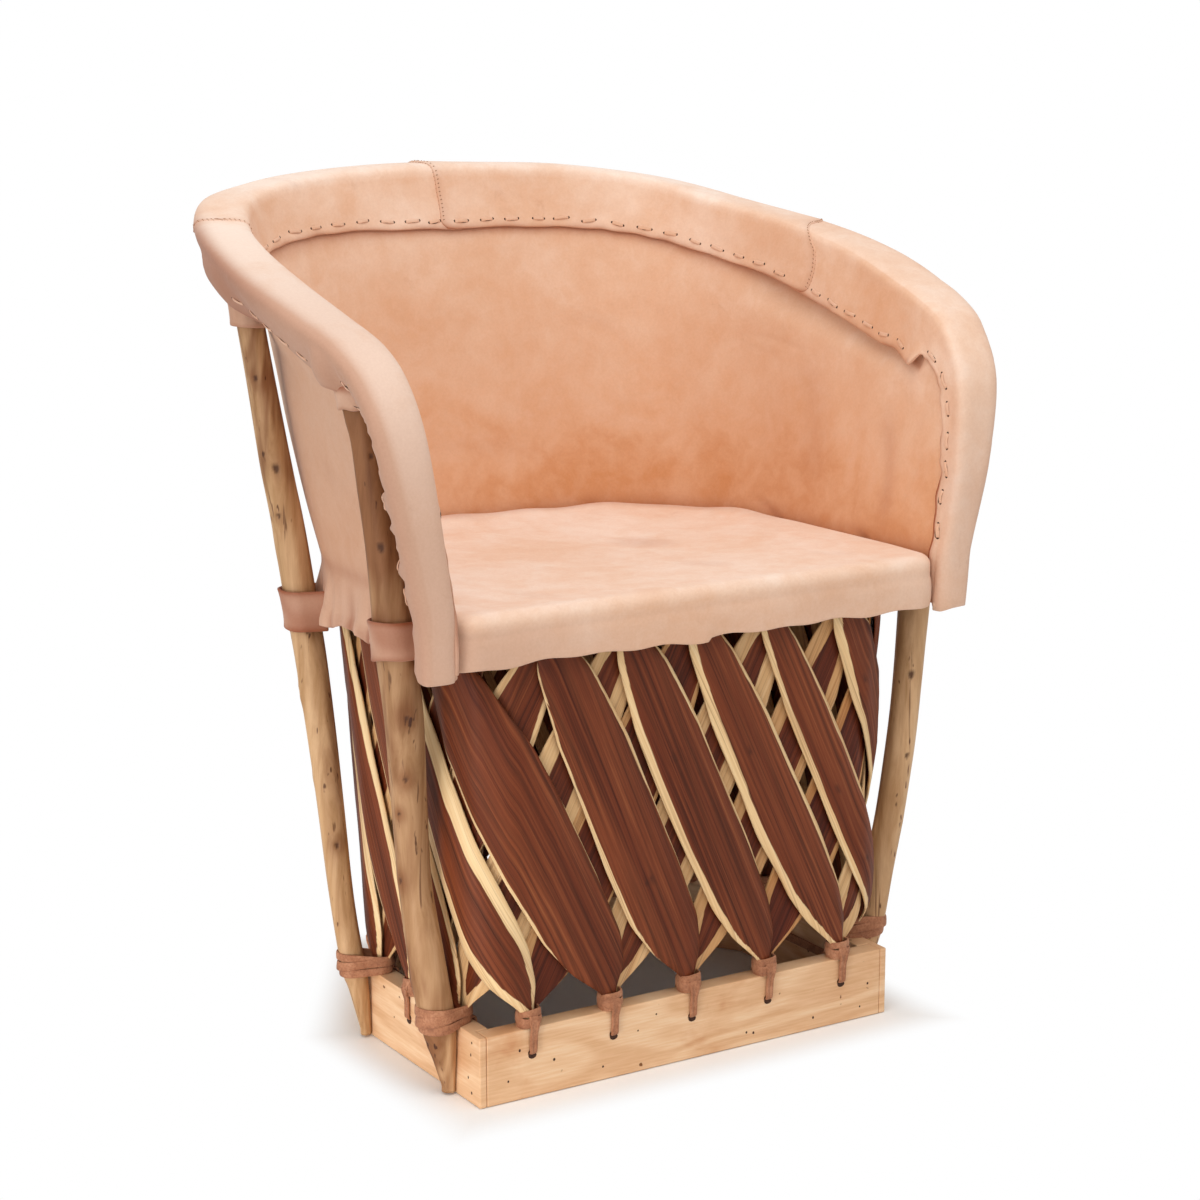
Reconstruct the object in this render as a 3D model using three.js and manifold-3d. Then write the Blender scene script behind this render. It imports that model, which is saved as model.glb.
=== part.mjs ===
import * as THREE from 'three';
import Module from 'manifold-3d';

// A barrel armchair of split cedar slats, peeled branches and stretched leather, in millimetres.
// The origin is on the floor under the middle of its plan. +X is the sitter's left, +Y the back, +Z up.

// Base box of six boards
const boardHeight = 66;
const boardThickness = 20;
const baseHalfWidth = 227;
const baseFrontReach = 240.5;
const baseSideRear = -18.5;
const baseBackHalfWidth = 105;
const baseBackReach = 176.5;
const cornerLip = 7;

// Seat
const seatTop = 458;
const seatPanelHeight = 47;
const seatLeather = 2.5;
const seatSag = 6;
const seatSagShare = 0.5;
const seatFrontReach = 268;
const seatFrontHalfWidth = 259.5;
const seatMiddleHalfWidth = 252;
const seatMiddleLine = -100;
const seatBackReach = 144;
const seatCornerRadius = 22;
const seatBackPower = 2.8;
const hoopThickness = 10;
const hoopHeight = 41;

// Back and arms
const rimHeight = 806;
const armDrop = 145;
const wallHalfWidth = 301;
const wallBackReach = 237;
const wallBow = 2.5;
const shellLeather = 3;
const shellFoot = 410;
const bandFoot = 408;
const bandHalfWidth = 29.5;
const bandLeather = 2.5;
const innerHemDepth = 70;
const outerHemDepth = 58;
const crestRound = 8;
const railDepthShare = 0.42;
const bellyShare = 0.6;
const bellyDepthShare = 0.62;
const hideTopDepth = 12;

// Posts, straps, slats and lashing
const postSides = 10;
const postRadius = 15;
const postSeatReach = 25;
const postFootReach = 16;
const strapHeight = 36;
const strapFoot = 403;
const strapLeather = 2.4;
const slatThickness = 4.6;
const slatLayerGap = 3.6;
const slatHoopRoom = 22;
const slatTop = 438;
const slatHalfWidth = 37;
const tieHalfWidth = 8;
const tieHeight = 75;
const thongThickness = 2;
const thongWidth = 10;
const knotHalfLength = 14;
const knotHeight = 16;
const lashHoleHeight = 42;
const lashHoleRadius = 4.2;
const lashPlug = 5;

// Clearances
const gap = 0.35;
const leatherRoom = 0.7;
const hemRoom = 0.9;
const cutOverrun = 30;

// Plan of the wall of the back, from the back centre to the arm front: a share of the wall's half
// width, a share of its reach to the back, and a share of the drop from the back to the arm front
const wallTopShares = [
  [0, 1, 0], [0.392, 0.968, 0.024], [0.626, 0.885, 0.07], [0.786, 0.76, 0.145], [0.893, 0.513, 0.26],
  [0.965, 0.173, 0.37], [1, -0.274, 0.53], [0.986, -0.628, 0.7], [0.971, -0.86, 0.83],
  [0.965, -1.152, 1],
];
// Where the leather band under the arm front needs room, the wall stands off the seat: the row's place
// from the seat's middle line to its front, and the share of that room
const wallSideShares = [[0.36, 0.35], [0.67, 0.75], [1.04, 1]];

// The rim's route over the wall: row of the wall, share of the height from the band's foot to the top
// edge, share of the band's half width, and shares of the depths of the two hems
const rimRouteShares = [
  [0, 1, 0.71, 1, 1], [1, 1, 0.75, 1, 1], [2, 1, 0.8, 1, 1], [3, 1, 0.85, 1, 1], [4, 1, 0.88, 1, 1],
  [5, 1, 0.93, 1, 1], [6, 1, 1, 1, 1], [7, 1, 0.99, 0.92, 1], [8, 1, 0.93, 0.72, 0.95],
  [8.5, 0.955, 0.865, 0.56, 0.9], [8.86, 0.82, 0.815, 0.45, 0.85], [9, 0.573, 0.73, 0.38, 0.82],
  [8.99, 0.344, 0.645, 0.33, 0.8], [8.93, 0, 0.54, 0.24, 0.78],
];
const routeStepsPerRow = 2;
// Places of the two seams of the rim's leather along the route, counted in rows from the back centre
const rimSeamRows = [-4.66, 5.34];

// Each post, left and right as seen from the front: the row of the wall where it passes the seat, the row
// where it meets the rim, and how far its foot stands from its tie as a share of its radius. Its lower
// rows go from the tie to the strap, its upper ones from the strap to the rail: share of that height,
// and shares of the radius for how far it wanders outwards and along the wall, and how thick it is
const postShares = {
  front_left_post: { side: -1, row: 7.72, rimRow: 7.6, tie: 3, footShare: 0, lower: [[0, 0, 0, 1.07],
    [0.18, 0.14, 0.3, 1.07], [0.37, 0.1, 0.8, 0.97], [0.59, 0, 0.58, 1.03], [0.81, -0.05, 0.1, 1.13]],
  upper: [[0, 0, 0, 1.2], [0.14, -0.15, -0.17, 1.2], [0.34, -0.31, -0.25, 1.1], [0.54, -0.33, -0.27, 1],
    [0.78, -0.38, -0.22, 0.93], [1, 0, 0, 0.93]] },
  rear_left_post: { side: -1, row: 4.35, rimRow: 5.1, tie: 5, footShare: 1, lower: [[0, 0, 0, 0.8],
    [0.19, 0.1, -0.2, 0.8], [0.42, 0, -0.1, 0.83], [0.64, -0.1, 0, 0.9], [0.84, -0.1, 0, 0.97]],
  upper: [[0, 0, 0, 1], [0.22, -0.1, 0.3, 0.97], [0.42, 0, 0.2, 0.93], [0.68, 0, 0.1, 0.9], [1, 0, 0, 0.9]] },
  front_right_post: { side: 1, row: 7.87, rimRow: 7.65, tie: 3, footShare: 0, lower: [[0, 0, 0, 0.93],
    [0.15, 0.1, -0.1, 0.93], [0.34, 0.1, -0.5, 0.93], [0.54, 0.05, -0.6, 0.93], [0.72, 0, -0.45, 0.93]],
  upper: [[0, 0, 0, 1], [0.32, -0.2, 0, 1], [0.56, -0.25, -0.1, 0.97], [0.8, -0.2, -0.1, 0.93], [1, 0, 0, 0.93]] },
  rear_right_post: { side: 1, row: 4.3, rimRow: 5.1, tie: 5, footShare: 1.1, lower: [[0, 0, 0, 0.87],
    [0.22, 0.1, 0, 0.87], [0.45, 0, 0, 0.87], [0.68, -0.1, 0, 0.9], [0.87, -0.1, 0, 0.97]],
  upper: [[0, 0, 0, 1], [0.25, -0.1, 0.25, 0.97], [0.48, 0, 0.2, 0.93], [0.72, 0, 0.1, 0.9], [1, 0, 0, 0.9]] },
  rear_middle_post: { side: 1, row: 0, rimRow: 0, tie: 9, footShare: 0, lower: [[0, 0, 0, 0.97],
    [0.2, 0.2, 0.3, 0.97], [0.5, 0.1, 0.3, 1], [0.8, 0, 0.1, 1.07]],
  upper: [[0, 0, 0, 1.07], [0.25, 0.15, 0, 1.07], [0.55, 0.25, -0.1, 1.03], [1, 0, 0, 1]] },
};
// Below the tie a post is pared away against the board: shares of the tie's height, of the radius towards
// the board and of the radius
const postFootShares = [[0.1, -0.75, 0.4], [0.65, -0.35, 0.8]];
const postStrapShare = 0.5;

// Ties round half of the base, from the front centre to the back centre, as shares of half its length
const tieShares = [0, 0.117, 0.234, 0.335, 0.45, 0.541, 0.66, 0.78, 0.9, 1];
const slatCount = 18;
// How far a slat leans round the barrel from its tie to its top, as a share of the barrel's length
const slatLeanShare = 0.121;
const outerLeanShares = [-0.01, -0.005, 0.004, 0.002, 0, 0, 0, 0, 0, 0, 0, 0, 0, 0, 0, 0, 0.003, 0.006];
// Widths of the slats as shares of the usual one, in turn from the front centre tie to the right
const outerWidthShares = [1.1, 1.04, 0.95, 0.8, 0.9, 0.88, 1, 1.05, 0.93, 0.88, 0.93, 1, 1.05, 0.88, 0.9,
  0.9, 0.9, 1.36];
const innerWidthShares = [0.95, 1, 0.95, 0.9, 0.88, 0.85, 1, 1, 0.93, 0.88, 0.93, 1, 1.05, 0.85, 0.88,
  0.9, 0.95, 1];
// A slat's outline: height from tip to tip, and half width between the tip's and the full one, as shares
const slatOutlineShares = [[0, 0], [0.055, 0.04], [0.13, 0.55], [0.26, 0.95], [0.48, 1], [0.72, 0.95],
  [0.88, 0.6], [1, 0.03]];

const wood = new THREE.MeshStandardMaterial({ name: 'board_wood', color: 0xdcb27a, roughness: 0.6, metalness: 0 });
const branch = new THREE.MeshStandardMaterial({ name: 'branch_wood', color: 0xc19764, roughness: 0.65, metalness: 0 });
const cedar = new THREE.MeshStandardMaterial({ name: 'cedar_wood', color: 0x7a4630, roughness: 0.6, metalness: 0 });
const leather = new THREE.MeshStandardMaterial({ name: 'leather', color: 0xe0ae86, roughness: 0.6, metalness: 0 });
const thong = new THREE.MeshStandardMaterial({ name: 'thong_leather', color: 0x935a3a, roughness: 0.7, metalness: 0 });

const wasm = await Module();
wasm.setup();
const chair = new THREE.Group();

const up = new THREE.Vector3(0, 0, 1);
const mix = (from, to, share) => from + (to - from) * share;
const smooth = (points) => new THREE.CatmullRomCurve3(points, false, 'catmullrom', 0.5);
const bothSides = (half) => [...half.slice(1).reverse().map(({ x, y, z }) => new THREE.Vector3(-x, y, z)), ...half];
const lastRow = wallTopShares.length - 1;
const rowStep = 1 / 50;

function addPiece(name, geometry, material) {
  geometry.computeVertexNormals();
  const mesh = new THREE.Mesh(geometry, material);
  mesh.name = name;
  chair.add(mesh);
}

// A closed body from vertices and faces of any number of corners, turned so that it faces out
function body(points, faces) {
  const triangles = [];
  for (const face of faces) {
    for (let i = 1; i + 1 < face.length; i += 1) triangles.push([face[0], face[i], face[i + 1]]);
  }
  let volume = 0;
  for (const [a, b, c] of triangles) {
    volume += points[a].dot(new THREE.Vector3().crossVectors(points[b], points[c]));
  }
  const index = triangles.flatMap(([a, b, c]) => (volume > 0 ? [a, b, c] : [a, c, b]));
  const geometry = new THREE.BufferGeometry();
  geometry.setAttribute('position', new THREE.Float32BufferAttribute(points.flatMap((p) => [p.x, p.y, p.z]), 3));
  geometry.setIndex(index);
  return geometry;
}

// A body between two grids of points that match, such as the two faces of a hide. With wrap, the
// last row of the grids joins the first one
function slab(outer, inner, wrap = false) {
  const rows = outer.length;
  const columns = outer[0].length;
  const points = [...outer.flat(), ...inner.flat()];
  const half = rows * columns;
  const at = (i, j, side) => (i % rows) * columns + j + side * half;
  const faces = [];
  const last = wrap ? rows : rows - 1;
  for (let i = 0; i < last; i += 1) {
    for (let j = 0; j + 1 < columns; j += 1) {
      faces.push([at(i, j, 0), at(i + 1, j, 0), at(i + 1, j + 1, 0), at(i, j + 1, 0)]);
      faces.push([at(i, j, 1), at(i, j + 1, 1), at(i + 1, j + 1, 1), at(i + 1, j, 1)]);
    }
    faces.push([at(i, 0, 0), at(i, 0, 1), at(i + 1, 0, 1), at(i + 1, 0, 0)]);
    faces.push([at(i, columns - 1, 0), at(i + 1, columns - 1, 0), at(i + 1, columns - 1, 1), at(i, columns - 1, 1)]);
  }
  if (!wrap) {
    for (let j = 0; j + 1 < columns; j += 1) {
      faces.push([at(0, j, 0), at(0, j + 1, 0), at(0, j + 1, 1), at(0, j, 1)]);
      faces.push([at(rows - 1, j, 0), at(rows - 1, j, 1), at(rows - 1, j + 1, 1), at(rows - 1, j + 1, 0)]);
    }
  }
  return body(points, faces);
}

// A body through rings of points that match, closed by a flat face at each end
function rod(rings) {
  const count = rings[0].length;
  const faces = [];
  for (let i = 0; i + 1 < rings.length; i += 1) {
    for (let j = 0; j < count; j += 1) {
      const next = (j + 1) % count;
      faces.push([i * count + j, i * count + next, (i + 1) * count + next, (i + 1) * count + j]);
    }
  }
  const end = (rings.length - 1) * count;
  faces.push([...Array(count).keys()].reverse());
  faces.push([...Array(count).keys()].map((j) => end + j));
  return body(rings.flat(), faces);
}

// An upright body on a plan outline
function prism(outline, foot, top) {
  return rod([foot, top].map((z) => outline.map(([x, y]) => new THREE.Vector3(x, y, z))));
}

function solidOf(geometry) {
  const vertProperties = new Float32Array(geometry.attributes.position.array);
  const triVerts = new Uint32Array(geometry.index.array);
  return new wasm.Manifold(new wasm.Mesh({ numProp: 3, vertProperties, triVerts }));
}

function geometryOf(solid) {
  const mesh = solid.getMesh();
  const geometry = new THREE.BufferGeometry();
  geometry.setAttribute('position', new THREE.Float32BufferAttribute(mesh.vertProperties, mesh.numProp));
  geometry.setIndex([...mesh.triVerts]);
  return geometry;
}

function cut(geometry, tools) {
  return geometryOf(tools.reduce((solid, tool) => solid.subtract(solidOf(tool)), solidOf(geometry)));
}

function mirrored(points) {
  return points.map(([x, y]) => [-x, y]);
}

// A closed plan outline with round corners, from points, each with the radius of its corner
function roundedOutline(corners, steps) {
  const count = corners.length;
  return corners.flatMap(([x, y, radius], i) => {
    const here = new THREE.Vector2(x, y);
    if (radius === 0) return [here];
    const before = new THREE.Vector2(...corners[(i + count - 1) % count].slice(0, 2)).sub(here).normalize();
    const after = new THREE.Vector2(...corners[(i + 1) % count].slice(0, 2)).sub(here).normalize();
    const half = Math.acos(before.dot(after)) / 2;
    const middle = before.clone().add(after).normalize();
    const centre = here.clone().addScaledVector(middle, radius / Math.sin(half));
    const start = here.clone().addScaledVector(before, radius / Math.tan(half)).sub(centre);
    const end = here.clone().addScaledVector(after, radius / Math.tan(half)).sub(centre);
    const turn = Math.atan2(start.cross(end), start.dot(end));
    return [...Array(steps + 1).keys()].map((k) => {
      const point = start.clone().rotateAround(new THREE.Vector2(), (turn * k) / steps);
      return point.add(centre);
    });
  });
}

// The same outline moved outwards, or inwards for a distance below zero
function offsetOutline(outline, distance) {
  const count = outline.length;
  return outline.map((point, i) => {
    const before = point.clone().sub(outline[(i + count - 1) % count]).normalize();
    const after = outline[(i + 1) % count].clone().sub(point).normalize();
    const normal = new THREE.Vector2(before.y + after.y, -before.x - after.x).normalize();
    const stretch = Math.cos(Math.acos(Math.min(1, before.dot(after))) / 2);
    return point.clone().addScaledVector(normal, distance / stretch);
  });
}

// A closed outline read by its length, as a share of the whole from its first point
class Loop {
  constructor(outline) {
    this.outline = outline;
    this.reach = [0];
    outline.forEach((point, i) => {
      this.reach.push(this.reach[i] + point.distanceTo(outline[(i + 1) % outline.length]));
    });
    this.length = this.reach.at(-1);
  }

  at(share) {
    const want = (((share % 1) + 1) % 1) * this.length;
    const i = this.reach.findIndex((reach) => reach > want) - 1;
    const part = (want - this.reach[i]) / (this.reach[i + 1] - this.reach[i]);
    const next = this.outline[(i + 1) % this.outline.length];
    return this.outline[i].clone().lerp(next, part);
  }
}

// The seat's edge behind its front corners: one smooth curve through rows counted from the back centre,
// an oval round the back and then flared sides
const sideRows = wallSideShares.length;
const roundRows = lastRow - sideRows;

function seatEdgeCurve() {
  const half = [];
  for (let i = 0; i <= roundRows; i += 1) {
    const angle = (Math.PI / 2) * (i / roundRows);
    const x = seatMiddleHalfWidth * Math.sin(angle) ** (2 / seatBackPower);
    const depth = seatBackReach - seatMiddleLine;
    half.push(new THREE.Vector3(x, seatMiddleLine + depth * Math.cos(angle) ** (2 / seatBackPower), seatTop));
  }
  for (const [place] of wallSideShares) {
    half.push(new THREE.Vector3(mix(seatMiddleHalfWidth, seatFrontHalfWidth, place),
      mix(seatMiddleLine, -seatFrontReach, place), seatTop));
  }
  return smooth(bothSides(half));
}

const seatEdge = seatEdgeCurve();

function seatFrame(row) {
  const at = (r) => seatEdge.getPoint((Math.max(-lastRow, Math.min(lastRow, r)) + lastRow) / (2 * lastRow));
  const along = at(row + rowStep).sub(at(row - rowStep)).normalize();
  return { point: at(row), along, outward: new THREE.Vector3().crossVectors(up, along) };
}

// The seat's plan: a straight front, two round corners and the rest of its edge
function seatOutline(cornerRadius) {
  const halfRows = [...Array(4 * roundRows + 1).keys()].map((i) => roundRows - i / 2);
  const edge = halfRows.map((row) => seatFrame(row).point).map(({ x, y }) => [x, y, 0]);
  return roundedOutline([[0, -seatFrontReach, 0], [seatFrontHalfWidth, -seatFrontReach, cornerRadius],
    ...edge, [-seatFrontHalfWidth, -seatFrontReach, cornerRadius]], 4);
}

const baseCorners = [[0, -baseFrontReach], [baseHalfWidth, -baseFrontReach], [baseHalfWidth, baseSideRear],
  [baseBackHalfWidth, baseBackReach], [-baseBackHalfWidth, baseBackReach], [-baseHalfWidth, baseSideRear],
  [-baseHalfWidth, -baseFrontReach]];
const baseOuter = baseCorners.map(([x, y]) => new THREE.Vector2(x, y));

// The barrel of slats: a surface from a rounded outline over the boards to one inside the hoop
const slatBoardInset = 7.5;
const slatCornerRadii = [0, 40, 60, 42, 42, 60, 40];
const slatHoopCorner = 95;
const slatReach = slatLayerGap / 2 + slatThickness;
const slatHoopInset = seatLeather + gap + hoopThickness + leatherRoom + slatReach;
const slatFoot = boardHeight + gap;
const hoopFoot = seatTop - seatLeather - gap - hoopHeight;
const barrelFoot = new Loop(offsetOutline(
  roundedOutline(baseCorners.map(([x, y], i) => [x, y, slatCornerRadii[i]]), 6), -slatBoardInset));
const barrelTop = new Loop(offsetOutline(seatOutline(slatHoopCorner), -slatHoopInset));

function barrelPoint(share, z, offset) {
  const height = Math.min(1, (z - slatFoot) / (hoopFoot - slatHoopRoom - slatFoot));
  const at = (s) => barrelFoot.at(s).lerp(barrelTop.at(s), height);
  const step = 1 / 400;
  const along = at(share + step).sub(at(share - step)).normalize();
  const point = at(share);
  return new THREE.Vector3(point.x + along.y * offset, point.y - along.x * offset, z);
}

function tieShare(index) {
  const turn = ((index % slatCount) + slatCount) % slatCount;
  return turn <= slatCount / 2 ? tieShares[turn] / 2 : 1 - tieShares[slatCount - turn] / 2;
}

// One split slat, pointed at both ends. Side is 1 in the outer layer, which leans to the sitter's
// right on its way up, and -1 in the inner layer, which leans the other way
function slat(index, side, widthShare, leanShare) {
  const columns = 4;
  const rows = slatOutlineShares.map(([heightShare, halfShare]) => {
    const z = mix(slatFoot, slatTop, heightShare);
    const rise = (z - tieHeight) / (slatTop - tieHeight);
    const centre = tieShare(index) - side * leanShare * rise;
    const length = mix(barrelFoot.length, barrelTop.length, heightShare);
    const half = mix(tieHalfWidth, slatHalfWidth * widthShare, halfShare) / length;
    return { z, centre, half };
  });
  const face = (offset) => rows.map(({ z, centre, half }) => [...Array(columns + 1).keys()].map((j) => (
    barrelPoint(centre + half * ((2 * j) / columns - 1), z, offset))));
  const near = (side * slatLayerGap) / 2;
  return slab(face(near + side * slatThickness), face(near));
}

function addSlats() {
  for (let i = 0; i < slatCount; i += 1) {
    const number = String(i + 1).padStart(2, '0');
    const lean = slatLeanShare + outerLeanShares[i];
    addPiece(`outer_slat_${number}`, slat(i, 1, outerWidthShares[i], lean), cedar);
    addPiece(`inner_slat_${number}`, slat(i, -1, innerWidthShares[i], slatLeanShare), cedar);
  }
}

// The wall of the back and arms. Its rows run from the left arm front over the back to the right one,
// and between rows it follows a smooth curve. Below the seat it stands upright
const wallStandoff = gap + bandLeather + gap;
const seatWallOffset = leatherRoom + shellLeather / 2;
const wallTop = smooth(bothSides(wallTopShares.map(([x, y, drop]) => (
  new THREE.Vector3(x * wallHalfWidth, y * wallBackReach, rimHeight - drop * armDrop)))));

// How much farther than usual the wall stands off the seat at a row
function wallRoomAt(row) {
  const place = Math.abs(row) - roundRows;
  if (place <= 0) return 0;
  const i = Math.min(sideRows, Math.ceil(place));
  const rooms = [0, ...wallSideShares.map(([, room]) => room)];
  return mix(rooms[i - 1], rooms[i], place - i + 1) * wallStandoff;
}

// A point of the wall at a row, counted from the back centre, and a height. The offset is outwards
function wallPoint(row, z, offset = 0) {
  const at = (r) => {
    const top = wallTop.getPoint((r + lastRow) / (2 * lastRow));
    const { point, outward } = seatFrame(r);
    const foot = point.addScaledVector(outward, seatWallOffset + wallRoomAt(r));
    return foot.lerp(top, Math.max(0, (z - seatTop) / (top.z - seatTop))).setZ(z);
  };
  const near = Math.max(row - rowStep, -lastRow);
  const far = Math.min(row + rowStep, lastRow);
  const along = at(far).sub(at(near)).normalize();
  const outward = new THREE.Vector3().crossVectors(up, along);
  const share = (z - seatTop) / (rimHeight - armDrop - seatTop);
  const bow = wallBow * 4 * Math.max(0, share * (1 - share));
  return at(row).addScaledVector(outward, offset + bow);
}

// The rim's route: a smooth curve over the wall through its rows of shares, from the left arm front
// to the right one. A station of it holds its place, its hems and the way from its crest into the wall
function rimCurves() {
  const half = rimRouteShares.map(([row, height, width, innerHem, outerHem]) => {
    const top = wallTop.getPoint((row + lastRow) / (2 * lastRow)).z;
    return { row, z: mix(bandFoot, top, height), width, innerHem, outerHem };
  });
  const full = [...half.slice(1).reverse().map((place) => ({ ...place, row: -place.row })), ...half];
  return [['row', 'z', 'width'], ['innerHem', 'outerHem', 'width']].map(([first, second, third]) => (
    smooth(full.map((place) => new THREE.Vector3(place[first], place[second], place[third])))));
}

const [rimPlaces, rimHems] = rimCurves();
const lastNode = rimRouteShares.length - 1;

function rowLengthAt(row, z) {
  const step = 0.05;
  const near = Math.max(row - step, -lastRow);
  const far = Math.min(row + step, lastRow);
  return wallPoint(near, z).distanceTo(wallPoint(far, z)) / (far - near);
}

function stationAt(node) {
  const share = (node + lastNode) / (2 * lastNode);
  const step = 1 / 500;
  const place = rimPlaces.getPoint(share);
  const hem = rimHems.getPoint(share);
  const ahead = rimPlaces.getPoint(Math.min(1, share + step)).sub(rimPlaces.getPoint(Math.max(0, share - step)));
  const rowLength = rowLengthAt(place.x, place.y);
  const side = ahead.x * rowLength;
  const length = Math.hypot(side, ahead.y);
  return { node, row: place.x, z: place.y, half: place.z * bandHalfWidth, innerHem: hem.x * innerHemDepth,
    outerHem: hem.y * outerHemDepth, inRow: ahead.y / length / rowLength, inHeight: -side / length };
}

// A point of the band's section: across is counted outwards from the band's middle, and depth from
// its crest into the wall
const shellOffset = bandLeather + gap + shellLeather / 2;

function bandPoint(station, across, depth) {
  const row = station.row + station.inRow * depth;
  const held = Math.max(-lastRow, Math.min(lastRow, row));
  return wallPoint(held, station.z + station.inHeight * depth, station.half - shellOffset + across);
}

// The band's leather in section, from the inner hem over the crest to the outer hem, which rests on the
// hide. The inset is counted from the outer face of the leather
function bandSection({ half, innerHem, outerHem }, inset) {
  const near = -half + inset;
  const far = half - inset;
  const third = crestRound / 3 + inset / 2;
  const rest = -half + 2 * shellOffset + bandLeather + hemRoom - inset;
  return [[near, innerHem], [near, crestRound], [-half + third, third], [-half + crestRound, inset],
    [half - crestRound, inset], [half - third, third], [far, crestRound], [far, outerHem / 3],
    [mix(rest, far, bellyShare), outerHem * bellyDepthShare - inset / 2], [rest, outerHem]];
}

const seamRoom = gap / 60;
const routeNodes = [...Array(2 * lastNode * routeStepsPerRow + 1).keys()].map((i) => i / routeStepsPerRow - lastNode);

function nodesBetween(from, to) {
  const inside = [...routeNodes, ...rimSeamRows].filter((node) => node > from + seamRoom && node < to - seamRoom);
  return [from, ...inside.sort((a, b) => a - b), to];
}

function bandStrip(from, to) {
  const stations = nodesBetween(from, to).map(stationAt);
  const face = (inset) => stations.map((station) => bandSection(station, inset).map(([across, depth]) => (
    bandPoint(station, across, depth))));
  return slab(face(0), face(bandLeather));
}

function rail(grow) {
  return rod(nodesBetween(-lastNode, lastNode).map(stationAt).map((station) => {
    const { half, outerHem } = station;
    const near = -half + bandLeather + gap + shellLeather + gap - grow;
    const far = half - bandLeather - gap + grow;
    const top = bandLeather + gap - grow;
    const foot = outerHem * railDepthShare + grow;
    const chamfer = (far - near) / 5;
    return [[near, top + chamfer], [near + chamfer, top], [far - crestRound, top], [far, top + crestRound],
      [far, outerHem / 3], [far - chamfer, foot], [near + chamfer, foot], [near, foot - chamfer]]
      .map(([across, depth]) => bandPoint(station, across, depth));
  }));
}

// The hide of the back and arms, from under the band's crest down past the seat. Its columns start along
// the band's own sections, and at the arm fronts their feet spread towards the front
const hideTurnNode = 7;
const hideEndNode = 12;
const hideFrontRow = 8.6;

function backHide() {
  const levels = [1 / 3, 2 / 3, 1];
  const columns = nodesBetween(-hideEndNode, hideEndNode).map((node) => {
    const station = stationAt(node);
    const within = (depth) => [station.row + station.inRow * depth, station.z + station.inHeight * depth];
    const [hemRow, hemHeight] = within(station.innerHem);
    const past = Math.max(0, (Math.abs(node) - hideTurnNode) / (hideEndNode - hideTurnNode));
    const footRow = past > 0 ? Math.sign(node) * mix(hideTurnNode, hideFrontRow, past) : station.row;
    const rest = levels.map((level) => [mix(hemRow, footRow, level), mix(hemHeight, seatTop, level)]);
    return [within(Math.min(hideTopDepth, station.innerHem / 2)), [hemRow, hemHeight], ...rest, [footRow, shellFoot]];
  });
  const face = (offset) => columns.map((column) => column.map(([row, z]) => wallPoint(row, z, offset)).reverse());
  return slab(face(shellLeather / 2), face(-shellLeather / 2));
}

// The posts stand outside the boards and the wall and end under the rail
const postStrapHeight = strapFoot + strapHeight * postStrapShare;
const upright = (point, z) => new THREE.Vector3(point.x, point.y, z);

function postRoute({ side, row, rimRow, tie, footShare, lower, upper }) {
  const { point, outward, along } = seatFrame(side * row);
  const rear = along.clone().multiplyScalar(-side);
  const strapPlace = upright(point.clone().addScaledVector(outward, postSeatReach), postStrapHeight);
  const place = tieFrame(side * tie);
  const tiePlace = place(side * footShare * postRadius, slatBoardInset + postFootReach, tieHeight);
  const rimPlace = bandPoint(stationAt(side * rimRow), 0, outerHemDepth * railDepthShare);
  const along2 = (from, to) => ([share, out, back, thick]) => ({
    centre: from.clone().lerp(to, share).addScaledVector(outward, out * postRadius)
      .addScaledVector(rear, back * postRadius),
    radius: thick * postRadius,
  });
  const [, , , footThick] = lower[0];
  const foot = postFootShares.map(([height, out, thick]) => ({
    centre: upright(tiePlace.clone().addScaledVector(outward, out * postRadius), height * tieHeight),
    radius: thick * footThick * postRadius,
  }));
  const top = { centre: bandPoint(stationAt(side * rimRow), 0, hideTopDepth), radius: upper.at(-1).at(-1) * postRadius };
  return [...foot, ...lower.map(along2(tiePlace, strapPlace)), ...upper.map(along2(strapPlace, rimPlace)), top];
}

const posts = Object.entries(postShares).map(([name, shares]) => ({ ...shares, name, route: postRoute(shares) }));
const postAtTie = (index) => posts.find(({ side, tie }) => (side * tie + slatCount) % slatCount === index);

function postBody(post, grow) {
  return rod(post.route.map(({ centre, radius }) => [...Array(postSides).keys()].map((i) => {
    const angle = (2 * Math.PI * i) / postSides;
    const reach = radius + grow;
    return new THREE.Vector3(centre.x + reach * Math.cos(angle), centre.y + reach * Math.sin(angle), centre.z);
  })));
}

function postAt(post, z) {
  const i = Math.max(1, post.route.findIndex(({ centre }) => centre.z > z));
  const low = post.route[i - 1];
  const high = post.route[i];
  const share = (z - low.centre.z) / (high.centre.z - low.centre.z);
  return { centre: low.centre.clone().lerp(high.centre, share), radius: mix(low.radius, high.radius, share) };
}

// Points round a post at a height that clear its edges by a distance
const arcSteps = 12;

function roundPost(post, z, reach, frame) {
  const { centre, radius } = postAt(post, z);
  const wide = (radius + reach) / Math.cos(Math.PI / arcSteps);
  return frame.map((angle) => [wide * Math.cos(angle), wide * Math.sin(angle), centre]);
}

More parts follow.
